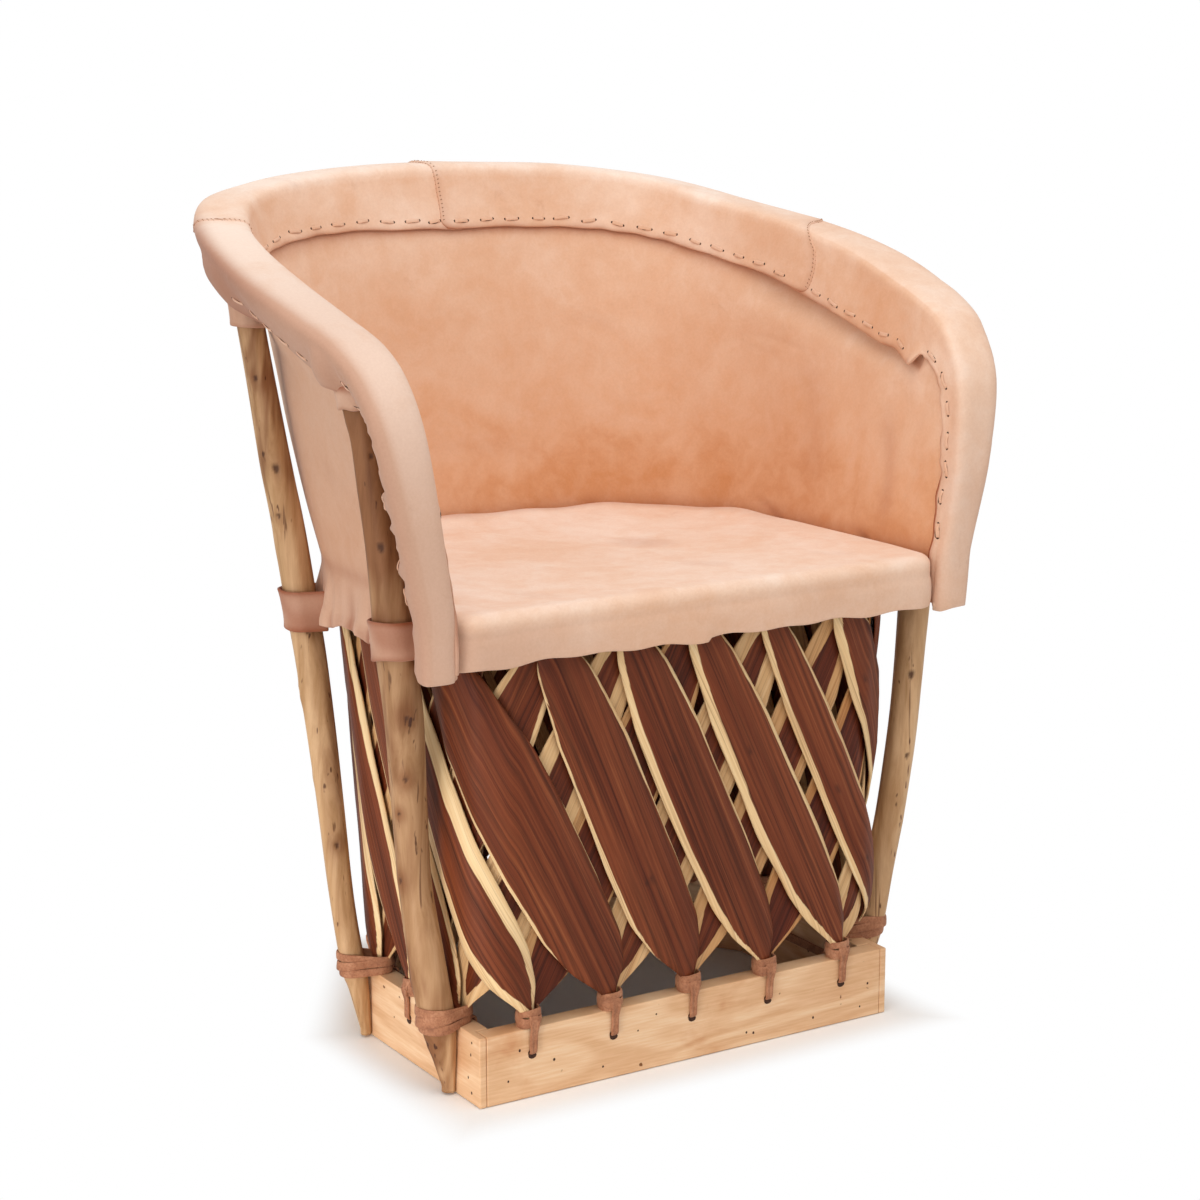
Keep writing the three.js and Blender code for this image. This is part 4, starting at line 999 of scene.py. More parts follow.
def seam_stitches(seams, marks, seam, way):
    """Fine stitches over a seam: each a short thread from the strip on top down to the one under it, its
    height a cosine, with a dark mark where it goes in that paints the shade inside the hole."""
    s = np.linspace(0.03, 0.97, 700)
    node = seam_at(seam, s) + way * 0.06 * np.clip(1 - s / 0.05, 0, 1) ** 2
    reach = along_line(rim_point(node, s))
    lift = seam_lifts[seam]
    first_place, end_room, pitch = 3, 2, 4.2
    t = np.linspace(-1, 1, 9)
    for place in np.arange(first_place, reach[-1] - end_room, pitch):
        seam_node = np.interp(place, reach, node)
        at_node = seam_node + way * (t + 0.15) * 0.014
        slant = np.interp(place, reach, s) + 0.004 * t
        point, normal = rim_point(at_node, slant), rim_normal(at_node, slant)
        over = np.clip((way * (at_node - seam_node)) / 0.02, 0, 1)
        rise = band_leather / 2 + lift * np.clip(over * 2, 0, 1) + 0.4 * np.cos(t * np.pi / 2)
        thong(seams, point + normal * rise[:, None], normal, 0.8, 0.7, seed=place)
        studs(marks, point[-1:] + normal[-1:] * (band_leather / 2 + lift), normal[-1:],
              unit(point[-1:] - point[-2:-1]), long=1.4, wide=1.1, high=0.35)


def add_stitches():
    """Stitches of both hems and of the three seams."""
    thongs, holes = Shape(), Shape()

    def inner(node):
        """A line that keeps 6.8 mm above the inner hem."""
        depth = rim_hems(node)[1]
        return crest_start * 6.8 / np.maximum(depth - crest_depth, 9)

    outer = lambda node: 0.83 + 0 * node
    # No stitch lies over a post, over the right seam or at the corner that hangs
    post_near = lambda node: over_posts(node) > 0.5
    seam_near = lambda node: abs(node - 5.5) < 0.12 or 8.02 < node < 8.75
    hem_stitches(thongs, holes, inner, pitch=29.0, length=13.5, shadow_width=4.9, seed=31,
                 toward=1, skip=seam_near)
    hem_stitches(thongs, holes, outer, pitch=31.0, length=15.0, shadow_width=6.5, seed=32,
                 toward=-1, skip=post_near)
    thongs.make("hem_stitches", leather, "leather")
    # The holes' painted shade and the stitches' painted shadows
    holes.make("hem_stitch_holes_and_shadows", dark, "leather")

    seams, marks = Shape(), Shape()
    for seam, way in seam_ways.items():
        seam_stitches(seams, marks, seam, way)
    seams.make("seam_stitches", thread, "leather")
    marks.make("seam_stitch_holes", dark, "leather")


add_stitches()


# ---------------------------------------------------------------- back hide

row_width = 60  # of the wall, about
wrinkles = [  # row and height at both ends, how deep and how wide, in millimetres
    (4.5, 632, 5.4, 624, 0.8, 3.5), (4.4, 618, 5.2, 608, 0.4, 5), (5.45, 614, 5.6, 498, 0.7, 9),
    (8.2, 548, 7.8, 494, 0.8, 4), (7.05, 568, 7.35, 476, 0.7, 10), (8.35, 600, 7.9, 560, 0.6, 5),
    (-0.6, 520, 0.8, 506, 0.8, 10), (1.2, 640, 2.2, 620, 0.7, 8),
    (-5.5, 560, -6.4, 520, 1.0, 8), (-7.3, 520, -7.9, 470, 1.6, 6), (-4.7, 470, -5.3, 440, 2.2, 6),
    (-6.6, 462, -7.1, 436, 2.4, 6), (4.7, 470, 5.3, 440, 2.0, 6), (6.6, 462, 7.1, 436, 2.2, 6),
    (-1.5, 460, -1.2, 430, 2.0, 7), (1.4, 462, 1.1, 432, 2.0, 7)]


def crease(row, z, start_row, start_z, end_row, end_z, depth, width):
    """A fold along a slightly bowed line on the wall: depth times e to the minus squared distance from the
    line, in widths, where a row counts as row_width."""
    ax, ay, bx, by = start_row * row_width, start_z, end_row * row_width, end_z
    px, py = row * row_width, z
    share = np.clip(((px - ax) * (bx - ax) + (py - ay) * (by - ay)) / ((bx - ax) ** 2 + (by - ay) ** 2), 0, 1)
    bow = np.sin(np.pi * share) * width * 0.8
    away = np.hypot(px - ax - (bx - ax) * share - bow * 0.4, py - ay - (by - ay) * share - bow)
    fade = np.sin(np.pi * np.clip(share * 0.96 + 0.02, 0, 1)) ** 0.5
    return depth * np.exp(-(away / width) ** 2) * fade


# Shares of a column of the back hide at its top, the rim's hem, the seat and the foot
hide_marks = (0.0, 0.14, 0.82, 1.0)


def hide_column(station, k, top_depth, hem_z):
    """Rows and heights of the back hide's columns at shares k of their way down: they follow the rim's
    sections to its hem, and then straight lines to the seat and the foot below it."""
    node = station.node
    front_row, foot_end = 7, 8.6
    past = np.maximum(0, (np.abs(node) - front_row) / 5)
    arm_row = np.sign(node) * (front_row + (foot_end - front_row) * past)
    foot_row = np.where(past > 0, arm_row, station.row)
    foot = shell_foot - 2.5 + 3.0 * ripple(41, foot_row * 5)
    hem_row = station.row + station.in_row * station.inner
    knots_row = [station.row + station.in_row * top_depth, hem_row, foot_row, foot_row]
    knots_z = [station.z + station.in_height * top_depth, hem_z, seat_top + 0 * node, foot]
    row, z = knots_row[0] + 0 * k, knots_z[0] + 0 * k
    for i in range(3):
        t = np.clip((k - hide_marks[i]) / (hide_marks[i + 1] - hide_marks[i]), 0, 1)
        row = row + (knots_row[i + 1] - knots_row[i]) * t
        z = z + (knots_z[i + 1] - knots_z[i]) * t
    return np.clip(row, -last_row, last_row), z


def back_hide_piece():
    """The hide of back and arms: its columns on the wall, offset by folds, by soft waves, and by a foot that
    is puckered outwards."""
    node = np.linspace(-12, 12, 400)[:, None]
    k = np.linspace(0, 1, 110)[None]
    station = Station(node)
    top_depth = np.minimum(12.0, station.inner / 2)
    hem_z = station.z + station.in_height * station.inner
    row, z = hide_column(station, k, top_depth, hem_z)
    folds = sum(crease(row, z, *line) for line in wrinkles)
    below = np.clip((seat_top - 8 - z) / 35, 0, 1)
    clear = np.clip((hem_z - z) / 25, 0, 1)
    waves = 0.9 * ripple(42, row * 1.6, z / 60) + 0.35 * ripple(43, row * 5, z / 22)
    offset = folds * clear + clear * waves
    pucker = ripple(44, row * 11, z / 40)
    rolled = smooth(z, shell_foot + 12, shell_foot - 4)
    swell = 4.6 * pucker + 1.4 * ripple(45, row * 21, z / 14) + 1.0
    offset = offset + below * (swell + np.hypot(swell, 1.5)) / 2 + 3.0 * rolled
    offset = offset + side_bulge(node) * (1 - smooth(k, 0.14, 0.24))
    middle = wall(row, z, offset)
    stain = crease(row, z, 7.1, 572, 7.35, 480, 0.3, 14) + crease(row, z, 5.5, 610, 5.65, 500, 0.15, 12)
    low = np.clip((seat_top + 30 - z) / 60, 0, 1)
    right = np.clip((row - 4) / 4, 0, 1)
    tone = (0.73 - 0.30 * np.clip((z - 520) / 230, 0, 1) + 0.18 * bump(z, 465, 45)
            - 0.16 * right * smooth(z, 490, 600))
    hem = rim_hems(node)[1]
    hem_line = hide_marks[1] * (hem - top_depth) / (station.inner - top_depth)
    # Painted shadow under the rim's hems, and painted shade in the folds, along the seat line, in the hollows
    # of the puckers and on the rolled foot; the stain is the hide's own
    under = 0.4 * bump(k, hem_line + 0.004, 0.013) + 0.25 * bump(k, 0.125, 0.02)
    shade = stain + under + 0.08 * folds + 0.25 * bump(z, seat_top, 8) - 0.5 * below * pucker + 0.3 * rolled
    shade = np.clip(shade, 0, 1)
    places = np.stack([row * 0.06, z * MM + 0 * row], -1)
    shape = Shape()
    hide(shape, middle, shell_leather, places, tone=tone, shade=shade, outer_dull=0.6, dull=0.25 * low)
    return shape.make("back_hide_leather", leather, "leather", ["back_hide"])


back_leather = back_hide_piece()


# ---------------------------------------------------------------- seat hide

def seat_hide_piece():
    """The seat's hide: from its middle out to the edge on a flat sag, over a quarter round whose radius is
    larger at the front, and straight down to a hem with shallow waves."""
    outline = Loop(offset_outline(seat_outline(seat_corner, 8, 8), -seat_leather / 2))
    share = np.arange(360)[:, None] / 360
    edge = outline.at(share[:, 0])
    step = unit(outline.at(share[:, 0] + 0.002) - outline.at(share[:, 0] - 0.002))
    out = np.stack([step[:, 1], -step[:, 0]], -1)
    centre = np.array([0, (seat_back - seat_front) / 2])
    front = np.clip((-edge[:, 1:] - 200) / 60, 0, 1)
    back = np.clip((edge[:, 1:] + 60) / 120, 0, 1)
    radius = 6 + 3 * front
    flat_rings, bend_rings, panel_rings = 44, 8, 21
    t = np.linspace(0.015, 1, flat_rings)[None]
    flat = edge[:, None] - out[:, None] * radius[..., None]
    plan = centre + (flat - centre) * t[..., None]
    ruffle = back * (0.8 + 2.2 * ripple(52, share * 84))
    wave = 1.3 * ripple(51, plan[..., 0] / 70, plan[..., 1] / 70) * (1 - t ** 4) + ruffle * bump(t, 1, 0.1)
    z = seat_top - seat_leather / 2 - seat_sag * (1 - t ** 2.2) + wave - 0.6 * front * t ** 6
    top = np.concatenate([plan, z[..., None]], -1)
    turn = np.linspace(0, np.pi / 2, bend_rings + 1)[None, 1:]
    bend = flat + out[:, None] * (radius * np.sin(turn))[..., None]
    bend_z = seat_top - seat_leather / 2 - radius * (1 - np.cos(turn)) + ruffle * np.cos(turn) - 0.6 * front
    down = np.linspace(0, 1, panel_rings + 1)[None, 1:]
    hem_wave = 1.6 * ripple(53, share * 60) + 1.1 * np.sin(share * 2 * np.pi * 26)
    hem = seat_top - seat_panel - 1.0 + front * hem_wave
    panel_z = bend_z[:, -1:] + (hem - bend_z[:, -1:]) * down
    puff = (front * (0.9 * np.sin(np.pi * down) + down * 1.3 * ripple(54, share * 75, down * 2))
            - front * 0.8 * bump(down, 0.25, 0.12))
    panel = edge[:, None] + out[:, None] * puff[..., None]
    middle = np.concatenate([top, np.concatenate([bend, bend_z[..., None]], -1),
                             np.concatenate([panel, panel_z[..., None]], -1)], 1)
    rows, columns = middle.shape[:2]
    under = np.concatenate([np.zeros(flat_rings), np.linspace(0.1, 0.8, bend_rings), np.ones(panel_rings)])
    tone = 0.13 + 0.24 * under[None] + 0.05 * ripple(55, middle[..., 0] / 60, middle[..., 1] / 60)
    # Painted shadow where the seat's edge turns down at the back, under the back hide; the spots are stains
    back_edge_shadow = np.concatenate([bump(t[0], 1, 0.05), np.full(bend_rings, 0.4), np.zeros(panel_rings)])[None]
    spots = np.clip(ripple(56, middle[..., 0] / 38, middle[..., 1] / 38) - 0.9, 0, 1) * 0.3
    shade = np.clip(0.35 * back * back_edge_shadow + spots, 0, 1)
    closed = np.concatenate([middle[-1:], middle, middle[:1]])
    normal = unit(np.cross(np.gradient(closed, axis=0)[1:-1], np.gradient(middle, axis=1)))
    normal[:, :4] = unit(normal[:, 4].mean(0))
    half = np.full((rows, columns), seat_leather / 2)
    way = unit(middle[:, -1] - middle[:, -2])
    for angle in (np.pi / 4, np.pi / 2):
        lip = middle[:, columns - 1] + way * seat_leather / 2 * np.sin(angle)
        middle = np.concatenate([middle, lip[:, None]], 1)
        half = np.concatenate([half, np.full((rows, 1), seat_leather / 2 * np.cos(angle))], 1)
        normal, tone, shade = (np.concatenate([v, v[:, -1:]], 1) for v in (normal, tone, shade))
    places = np.stack([middle[..., 0], middle[..., 1] - middle[..., 2]], -1) * MM
    dull = smooth(seat_top - middle[..., 2], 6, 22) * (0.3 + 0.5 * smooth(-middle[..., 0], 60, 260))
    shape = Shape()
    for sign in (1, -1):
        grid = middle + sign * normal * half[..., None]
        shape.add(np.moveaxis(grid, 0, 1), around=True, places=np.moveaxis(places, 0, 1),
                  tone=tone.T, shade=shade.T, dull=dull.T)
        cap = grid[:, 0]
        hub = cap.mean(0)
        fan = np.stack([cap, hub + (cap - hub) * 1e-4], 0)
        shape.add(fan, around=True, tone=tone[:, 0].mean(), shade=shade[:, 0].mean())
    return shape.make("seat_hide_leather", leather, "leather", ["seat_hide"])


seat_leather_piece = seat_hide_piece()


# ---------------------------------------------------------------- posts

# Each post: its side, the row of its strap, the node of its top, its tie, how far aside its foot stands, and
# points of its route from foot to strap and from strap to top. Each point has its share of the way, and in
# post radii how far it lies outwards, how far to the rear, and how thick the post is.
post_shares = {
    "front_left_post": (-1, 7.72, 7.6, 3, 0, [
        (0, 0, 0, 1.07), (0.18, 0.14, 0.3, 1.07), (0.37, 0.1, 0.8, 0.97), (0.59, 0, 0.58, 1.03),
        (0.81, -0.05, 0.1, 1.13)], [
        (0, 0, 0, 1.2), (0.14, -0.15, -0.17, 1.2), (0.34, -0.31, -0.25, 1.1), (0.54, -0.33, -0.27, 1),
        (0.78, -0.38, -0.22, 0.93), (1, 0, 0, 0.93)]),
    "rear_left_post": (-1, 4.35, 5.1, 5, 1, [
        (0, 0, 0, 0.8), (0.19, 0.1, -0.2, 0.8), (0.42, 0, -0.1, 0.83), (0.64, -0.1, 0, 0.9),
        (0.84, -0.1, 0, 0.97)], [
        (0, 0, 0, 1), (0.22, -0.1, 0.3, 0.97), (0.42, 0, 0.2, 0.93), (0.68, 0, 0.1, 0.9), (1, 0, 0, 0.9)]),
    "front_right_post": (1, 7.87, 7.65, 3, 0, [
        (0, 0, 0, 0.93), (0.15, 0.1, -0.1, 0.93), (0.34, 0.1, -0.5, 0.93), (0.54, 0.05, -0.6, 0.93),
        (0.72, 0, -0.45, 0.93)], [
        (0, 0, 0, 1), (0.32, -0.2, 0, 1), (0.56, -0.25, -0.1, 0.97), (0.8, -0.2, -0.1, 0.93),
        (1, 0, 0, 0.93)]),
    "rear_right_post": (1, 4.3, 5.1, 5, 1.1, [
        (0, 0, 0, 0.87), (0.22, 0.1, 0, 0.87), (0.45, 0, 0, 0.87), (0.68, -0.1, 0, 0.9),
        (0.87, -0.1, 0, 0.97)], [
        (0, 0, 0, 1), (0.25, -0.1, 0.25, 0.97), (0.48, 0, 0.2, 0.93), (0.72, 0, 0.1, 0.9), (1, 0, 0, 0.9)]),
    "rear_middle_post": (1, 0, 0, 9, 0, [
        (0, 0, 0, 0.97), (0.2, 0.2, 0.3, 0.97), (0.5, 0.1, 0.3, 1), (0.8, 0, 0.1, 1.07)], [
        (0, 0, 0, 1.07), (0.25, 0.15, 0, 1.07), (0.55, 0.25, -0.1, 1.03), (1, 0, 0, 1)]),
}
# The pared foot below the tie: share of the tie's height, how far outwards, and thickness
post_foot_shares = [(0.1, -0.75, 0.4), (0.65, -0.35, 0.8)]
# Knots of each post: height, side as an angle from the way out, and size
post_knots = {
    "front_left_post": [(622, -20, 6), (590, 70, 5), (512, 55, 9), (436, 20, 9), (360, 75, 6), (303, 60, 6),
                        (270, 30, 4), (205, 10, 6), (110, -40, 5), (50, 0, 5)],
    "rear_left_post": [(685, 80, 7), (630, 70, 6), (545, 85, 9), (500, 60, 5), (470, -50, 9), (390, 95, 5),
                       (190, 95, 6), (330, 0, 5), (250, -40, 4), (60, -40, 5)],
    "front_right_post": [(250, -100, 6), (330, -118, 9), (180, -80, 4), (520, -60, 6), (610, 30, 5)],
    "rear_right_post": [(560, 20, 7), (360, -20, 6), (210, 40, 5), (640, -30, 4)],
    "rear_middle_post": [(600, 10, 6), (420, -30, 5), (250, 20, 8), (140, -10, 4)],
}
# How brown with age a post is; the others take the usual age
post_ages = {"front_left_post": 0.75, "rear_left_post": -0.05, "front_right_post": -0.3}
usual_age = 0.25


def post_route(name):
    """Centres, radii and heights of a post: from the pared foot to the tie, the strap and the rail."""
    side, row, rim_row, tie, foot_share, lower, upper = post_shares[name]
    point, along, outward = (np.append(v, 0.0) for v in seat_frame(side * row))
    rear = -side * along
    strap_place = point + outward * post_seat_reach
    strap_place[2] = strap_foot + strap_height / 2
    beside, outside = side * foot_share * post_radius, slat_inset + post_foot_reach
    tie_point = tie_place(side * tie, beside, outside, tie_height)
    rim_place = band(Station(side * rim_row), 0.0, outer_hem * 0.42)
    centres, radii = [], []
    for share, out, thick in post_foot_shares:
        centre = tie_point + outward * out * post_radius
        centre[2] = share * tie_height
        centres.append(centre)
        radii.append(thick * lower[0][3] * post_radius)
    for start, end, rows in ((tie_point, strap_place, lower), (strap_place, rim_place, upper)):
        for share, out, back, thick in rows:
            centres.append(start + (end - start) * share + (outward * out + rear * back) * post_radius)
            radii.append(thick * post_radius)
    return np.array(centres), np.array(radii), outward, side * tie


def post_line(name, count):
    """Centres and radii at many places along a post's route, from its foot up, with its way out and tie."""
    centres, radii, outward, tie = post_route(name)
    place = np.linspace(0, len(centres) - 1, count)
    centre, radius = spline(centres, place), spline(radii[:, None], place)[:, 0]
    order = np.argsort(centre[:, 2])
    return centre[order], radius[order], outward, tie


def post_at(name, z):
    """Centre in plan and radius of a post at heights."""
    centre, radius = post_line(name, 400)[:2]
    read = lambda v: np.interp(z, centre[:, 2], v)
    return np.stack([read(centre[:, 0]), read(centre[:, 1])], -1), read(radius)


def post_piece(name, seed):
    """A post: rings on a smooth route, each a circle pressed by soft waves, with a hill round every knot;
    under the board's top the side towards the board is pared flat."""
    centre, radius, outward, tie = post_line(name, 260)
    z = np.linspace(2.0, centre[-1, 2], 300)
    radius = np.interp(z, centre[:, 2], radius)
    centre = np.stack([np.interp(z, centre[:, 2], centre[:, k]) for k in (0, 1)] + [z], -1)
    turn = 2 * np.pi * np.arange(56)[None] / 56
    cosine, sine = np.cos(turn), np.sin(turn)
    heading = np.arctan2(outward[1], outward[0])
    height = z[:, None]
    reach = radius[:, None] * (1 + 0.045 * ripple(seed, cosine * 1.3, sine * 1.3, height / 55)
                               + 0.03 * ripple(seed + 1, cosine * 3, sine * 3, height / 120))
    reach = reach + 0.35 * np.abs(np.sin(turn * 3.5 + ripple(seed + 2, height / 150))) ** 3
    knot = np.zeros_like(reach)
    age = post_ages.get(name, usual_age) + 0.3 * ripple(seed + 3, height / 160) + 0 * turn
    for knot_z, angle, size in post_knots[name]:
        away = np.angle(np.exp(1j * (turn - heading - np.radians(angle)))) * radius[:, None]
        hill = bump(away, 0, size * 1.5) * bump(height, knot_z, size * 2.0)
        mouth = bump(away, 0, size * 0.42) * bump(height, knot_z + 0.6 * np.abs(away), size * 0.6)
        reach = reach + 1.5 * hill - 1.8 * mouth
        knot = np.maximum(knot, smooth(mouth, 0.3, 0.8))
        age = age + 0.4 * hill
    # Painted shade: darker from 450 mm up, under the arm; paler towards the foot
    age = age + 0.5 * np.clip((height - 450) / 150, 0, 1) - 0.4 * bump(height, 0, 190)
    grid = np.concatenate([centre[:, None, :2] + reach[..., None] * np.stack([cosine, sine], -1),
                           np.broadcast_to(height, reach.shape)[..., None]], -1)
    middle, _, out = tie_frame(tie)
    inside = slat_inset + gap - (grid - middle) @ out
    near = height < board_height + gap + 0.4
    grid = grid + np.where(near & (inside > 0), inside, 0)[..., None] * out
    shape = Shape()
    places = np.stack(np.broadcast_arrays(turn * 0.015, height * MM), -1)
    shape.add(grid, around=True, ends=True, places=places, knot=knot, age=age)
    return shape.make(name + "_branch", branch, "branch_wood", [name])


for number, post_name in enumerate(post_shares):
    post_piece(post_name, 100 + 10 * number)


# How far two straps sit above or below the height of the others
strap_shifts = {"front_left_post": 8, "rear_left_post": -11}
strap_leather, cap_leather = 2.4, 2.2


def strap_piece(name, seed):
    """A leather strap round a post: in plan a half circle round the post that runs on straight to the slits
    in the hide, with edges that roll out a little, cubed in the height from the middle."""
    side, row = post_shares[name][:2]
    point, along, outward = (np.append(v, 0.0) for v in seat_frame(side * row))
    z = np.linspace(1, strap_height - 1, 15) + strap_foot + strap_shifts.get(name, 0)
    centre, radius = post_at(name, z)
    centre = np.concatenate([centre, z[:, None]], -1)
    level = np.linspace(-1, 1, 15)[:, None]
    turn = np.linspace(0, np.pi, 41)
    wide = (radius[:, None] + 2.3 + 1.1 * np.abs(level) ** 3
            + 0.5 * ripple(seed, turn[None] * 1.4, level * 1.2))
    arc_side, arc_out = -wide * np.cos(turn), wide * np.sin(turn)
    end = ((point - centre) @ outward)[:, None]
    straight = np.linspace(1, 0, 12)[None, :-1]
    flat = np.minimum(end + 1.0, 0)
    pinch = 1 - 0.10 * straight
    sides = np.concatenate([-wide[:, :1] * pinch, arc_side, (wide[:, -1:] * pinch)[:, ::-1]], 1)
    outs = np.concatenate([flat * straight, arc_out, (flat * straight)[:, ::-1]], 1)
    middle = centre[:, None] + sides[..., None] * along + outs[..., None] * outward
    middle[..., 2] = z[:, None] + 1.4 * ripple(seed + 1, sides / 14, level) * np.abs(level)
    places = np.stack(np.broadcast_arrays(np.arange(sides.shape[1])[None] * 0.0015, z[:, None] * MM), -1)
    shade = 0.52 + 0.3 * bump(np.abs(level), 1, 0.15) + 0.15 * ripple(seed + 2, sides / 9, level * 2)
    shape = Shape()
    hide(shape, middle, strap_leather, places, tone=0.5, shade=np.clip(shade, 0, 1), dull=0.9)
    stands_for = [name.replace("post", "strap")]
    return shape.make(name.replace("post", "strap_leather"), leather, "leather", stands_for)


for number, post_name in enumerate(post_shares):
    strap_piece(post_name, 200 + 10 * number)


# How far the leather over each post's top hangs below the rim's outer hem
cap_drops = {"front_left_post": 7, "rear_left_post": 13, "front_right_post": 9, "rear_right_post": 14,
             "rear_middle_post": 14}


def cap_piece(name, seed):
    """Leather wrapped over a post's top: an open sleeve from inside the rim's belly to a rolled lip, standing
    off the post by a reach that narrows a little on the way up, with soft waves that fade upwards by the
    square."""
    side, _, rim_row = post_shares[name][:3]
    node = side * rim_row
    station = Station(node)
    ahead = unit((spline(WALL_TOP, node + 0.05 + last_row) - spline(WALL_TOP, node - 0.05 + last_row))[:2])
    along, outward = np.append(ahead, 0.0), np.array([-ahead[1], ahead[0], 0.0])
    hem = float(station.z) - float(station.outer)
    foot, top = hem - cap_drops[name], hem + 30
    t = np.linspace(0, 1, 30)[:, None]
    z = foot + (top - foot) * t
    centre, radius = post_at(name, z[:, 0])
    centre = np.concatenate([centre, z], -1)
    turn = np.radians(np.linspace(-35, 215, 61))[None]
    lip = bump(t, 0, 0.10)
    front = np.clip(np.sin(turn), 0, 1)
    wide = (radius[:, None] + 4.0 + 0.8 * lip - 1.0 * t + 0.6 * ripple(seed, turn * 1.7, t * 4)
            + 0.6 * np.clip(t - 0.3, 0, 1) * ripple(seed + 3, turn * 5))
    sides, outs = -wide * np.cos(turn), wide * np.sin(turn)
    middle = centre[:, None] + sides[..., None] * along + outs[..., None] * outward
    middle[..., 2] = z + (1 - t) ** 2 * 1.5 * ripple(seed + 1, turn * 1.6)
    places = np.stack(np.broadcast_arrays(turn * 0.016, z * MM), -1)
    # Painted shadow across the front of the cap under the rim's outer flap, from a little below its hem
    # upwards; darker also along the lip's bottom edge
    under = (cap_drops[name] + 13) / (top - foot)
    shade = (0.15 + 0.8 * smooth(t, under - 0.22, under) * front + 0.3 * bump(t, 0, 0.04)
             + 0.1 * ripple(seed + 2, turn * 3, t * 5))
    tone = 0.42 + 0.04 * ripple(seed + 4, turn, t * 3)
    shape = Shape()
    hide(shape, middle, cap_leather, places, tone=tone, shade=np.clip(shade, 0, 1), dull=0.7)
    return shape.make(name.replace("post", "post_cap"), leather, "leather")


for number, post_name in enumerate(post_shares):
    cap_piece(post_name, 300 + 10 * number)


# ---------------------------------------------------------------- slats

# How far a slat leans on its way up, in shares of the barrel's length, and each outer one's own addition
slat_lean = 0.121
outer_leans = [-0.01, -0.005, 0.004, 0.002] + [0] * 12 + [0.003, 0.006]
outer_widths = [1.03, 0.95, 0.88, 0.66, 0.9, 0.88, 1, 1.05, 0.93, 0.88, 0.93, 1, 1.05, 0.88, 0.9, 0.9, 0.9,
                1.2]
inner_widths = [0.95, 1, 0.95, 0.9, 0.88, 0.85, 1, 1, 0.93, 0.88, 0.93, 1, 1.05, 0.85, 0.95, 1.05, 1.12, 1.1]
# Share of a slat's height and of its half width beyond the neck's
slat_outline = np.array([(0, 0), (0.04, 0.03), (0.11, 0.58), (0.2, 0.9), (0.36, 1), (0.7, 0.97), (0.88, 0.66),
                         (1, 0.06)])
slat_neck, slat_ridge, slat_thinnest = 5.6, 7.2, 1.3
# Width of the cream sapwood at a slat's low and high side, at its foot, its middle and its top
sap_heights = (0.1, 0.5, 0.9)
front_sap = {16: ((14, 17, 10), (9, 14, 15)), 17: ((2.4, 2.0, 2.5), (0.8, -0.5, -2)),
             0: ((2.6, 2.2, 3), (1.2, 3.5, 5.5)), 1: ((6.5, 5.5, 6), (2, 3, 5)), 2: ((9, 6.5, 9), (3, 4, 6)),
             3: ((5, 5, 6), (4, 5, 7))}


def slat_share(t):
    """Half width of a slat at shares of its height, in shares, smoothed from the table."""
    dense = np.linspace(-0.1, 1.1, 481)
    share = np.interp(dense, slat_outline[:, 0], slat_outline[:, 1])
    kernel = bump(np.arange(-12, 13), 0, 6.0)
    share = np.convolve(np.pad(share, 12, mode="edge"), kernel / kernel.sum(), "valid")
    return np.interp(t, dense, share)


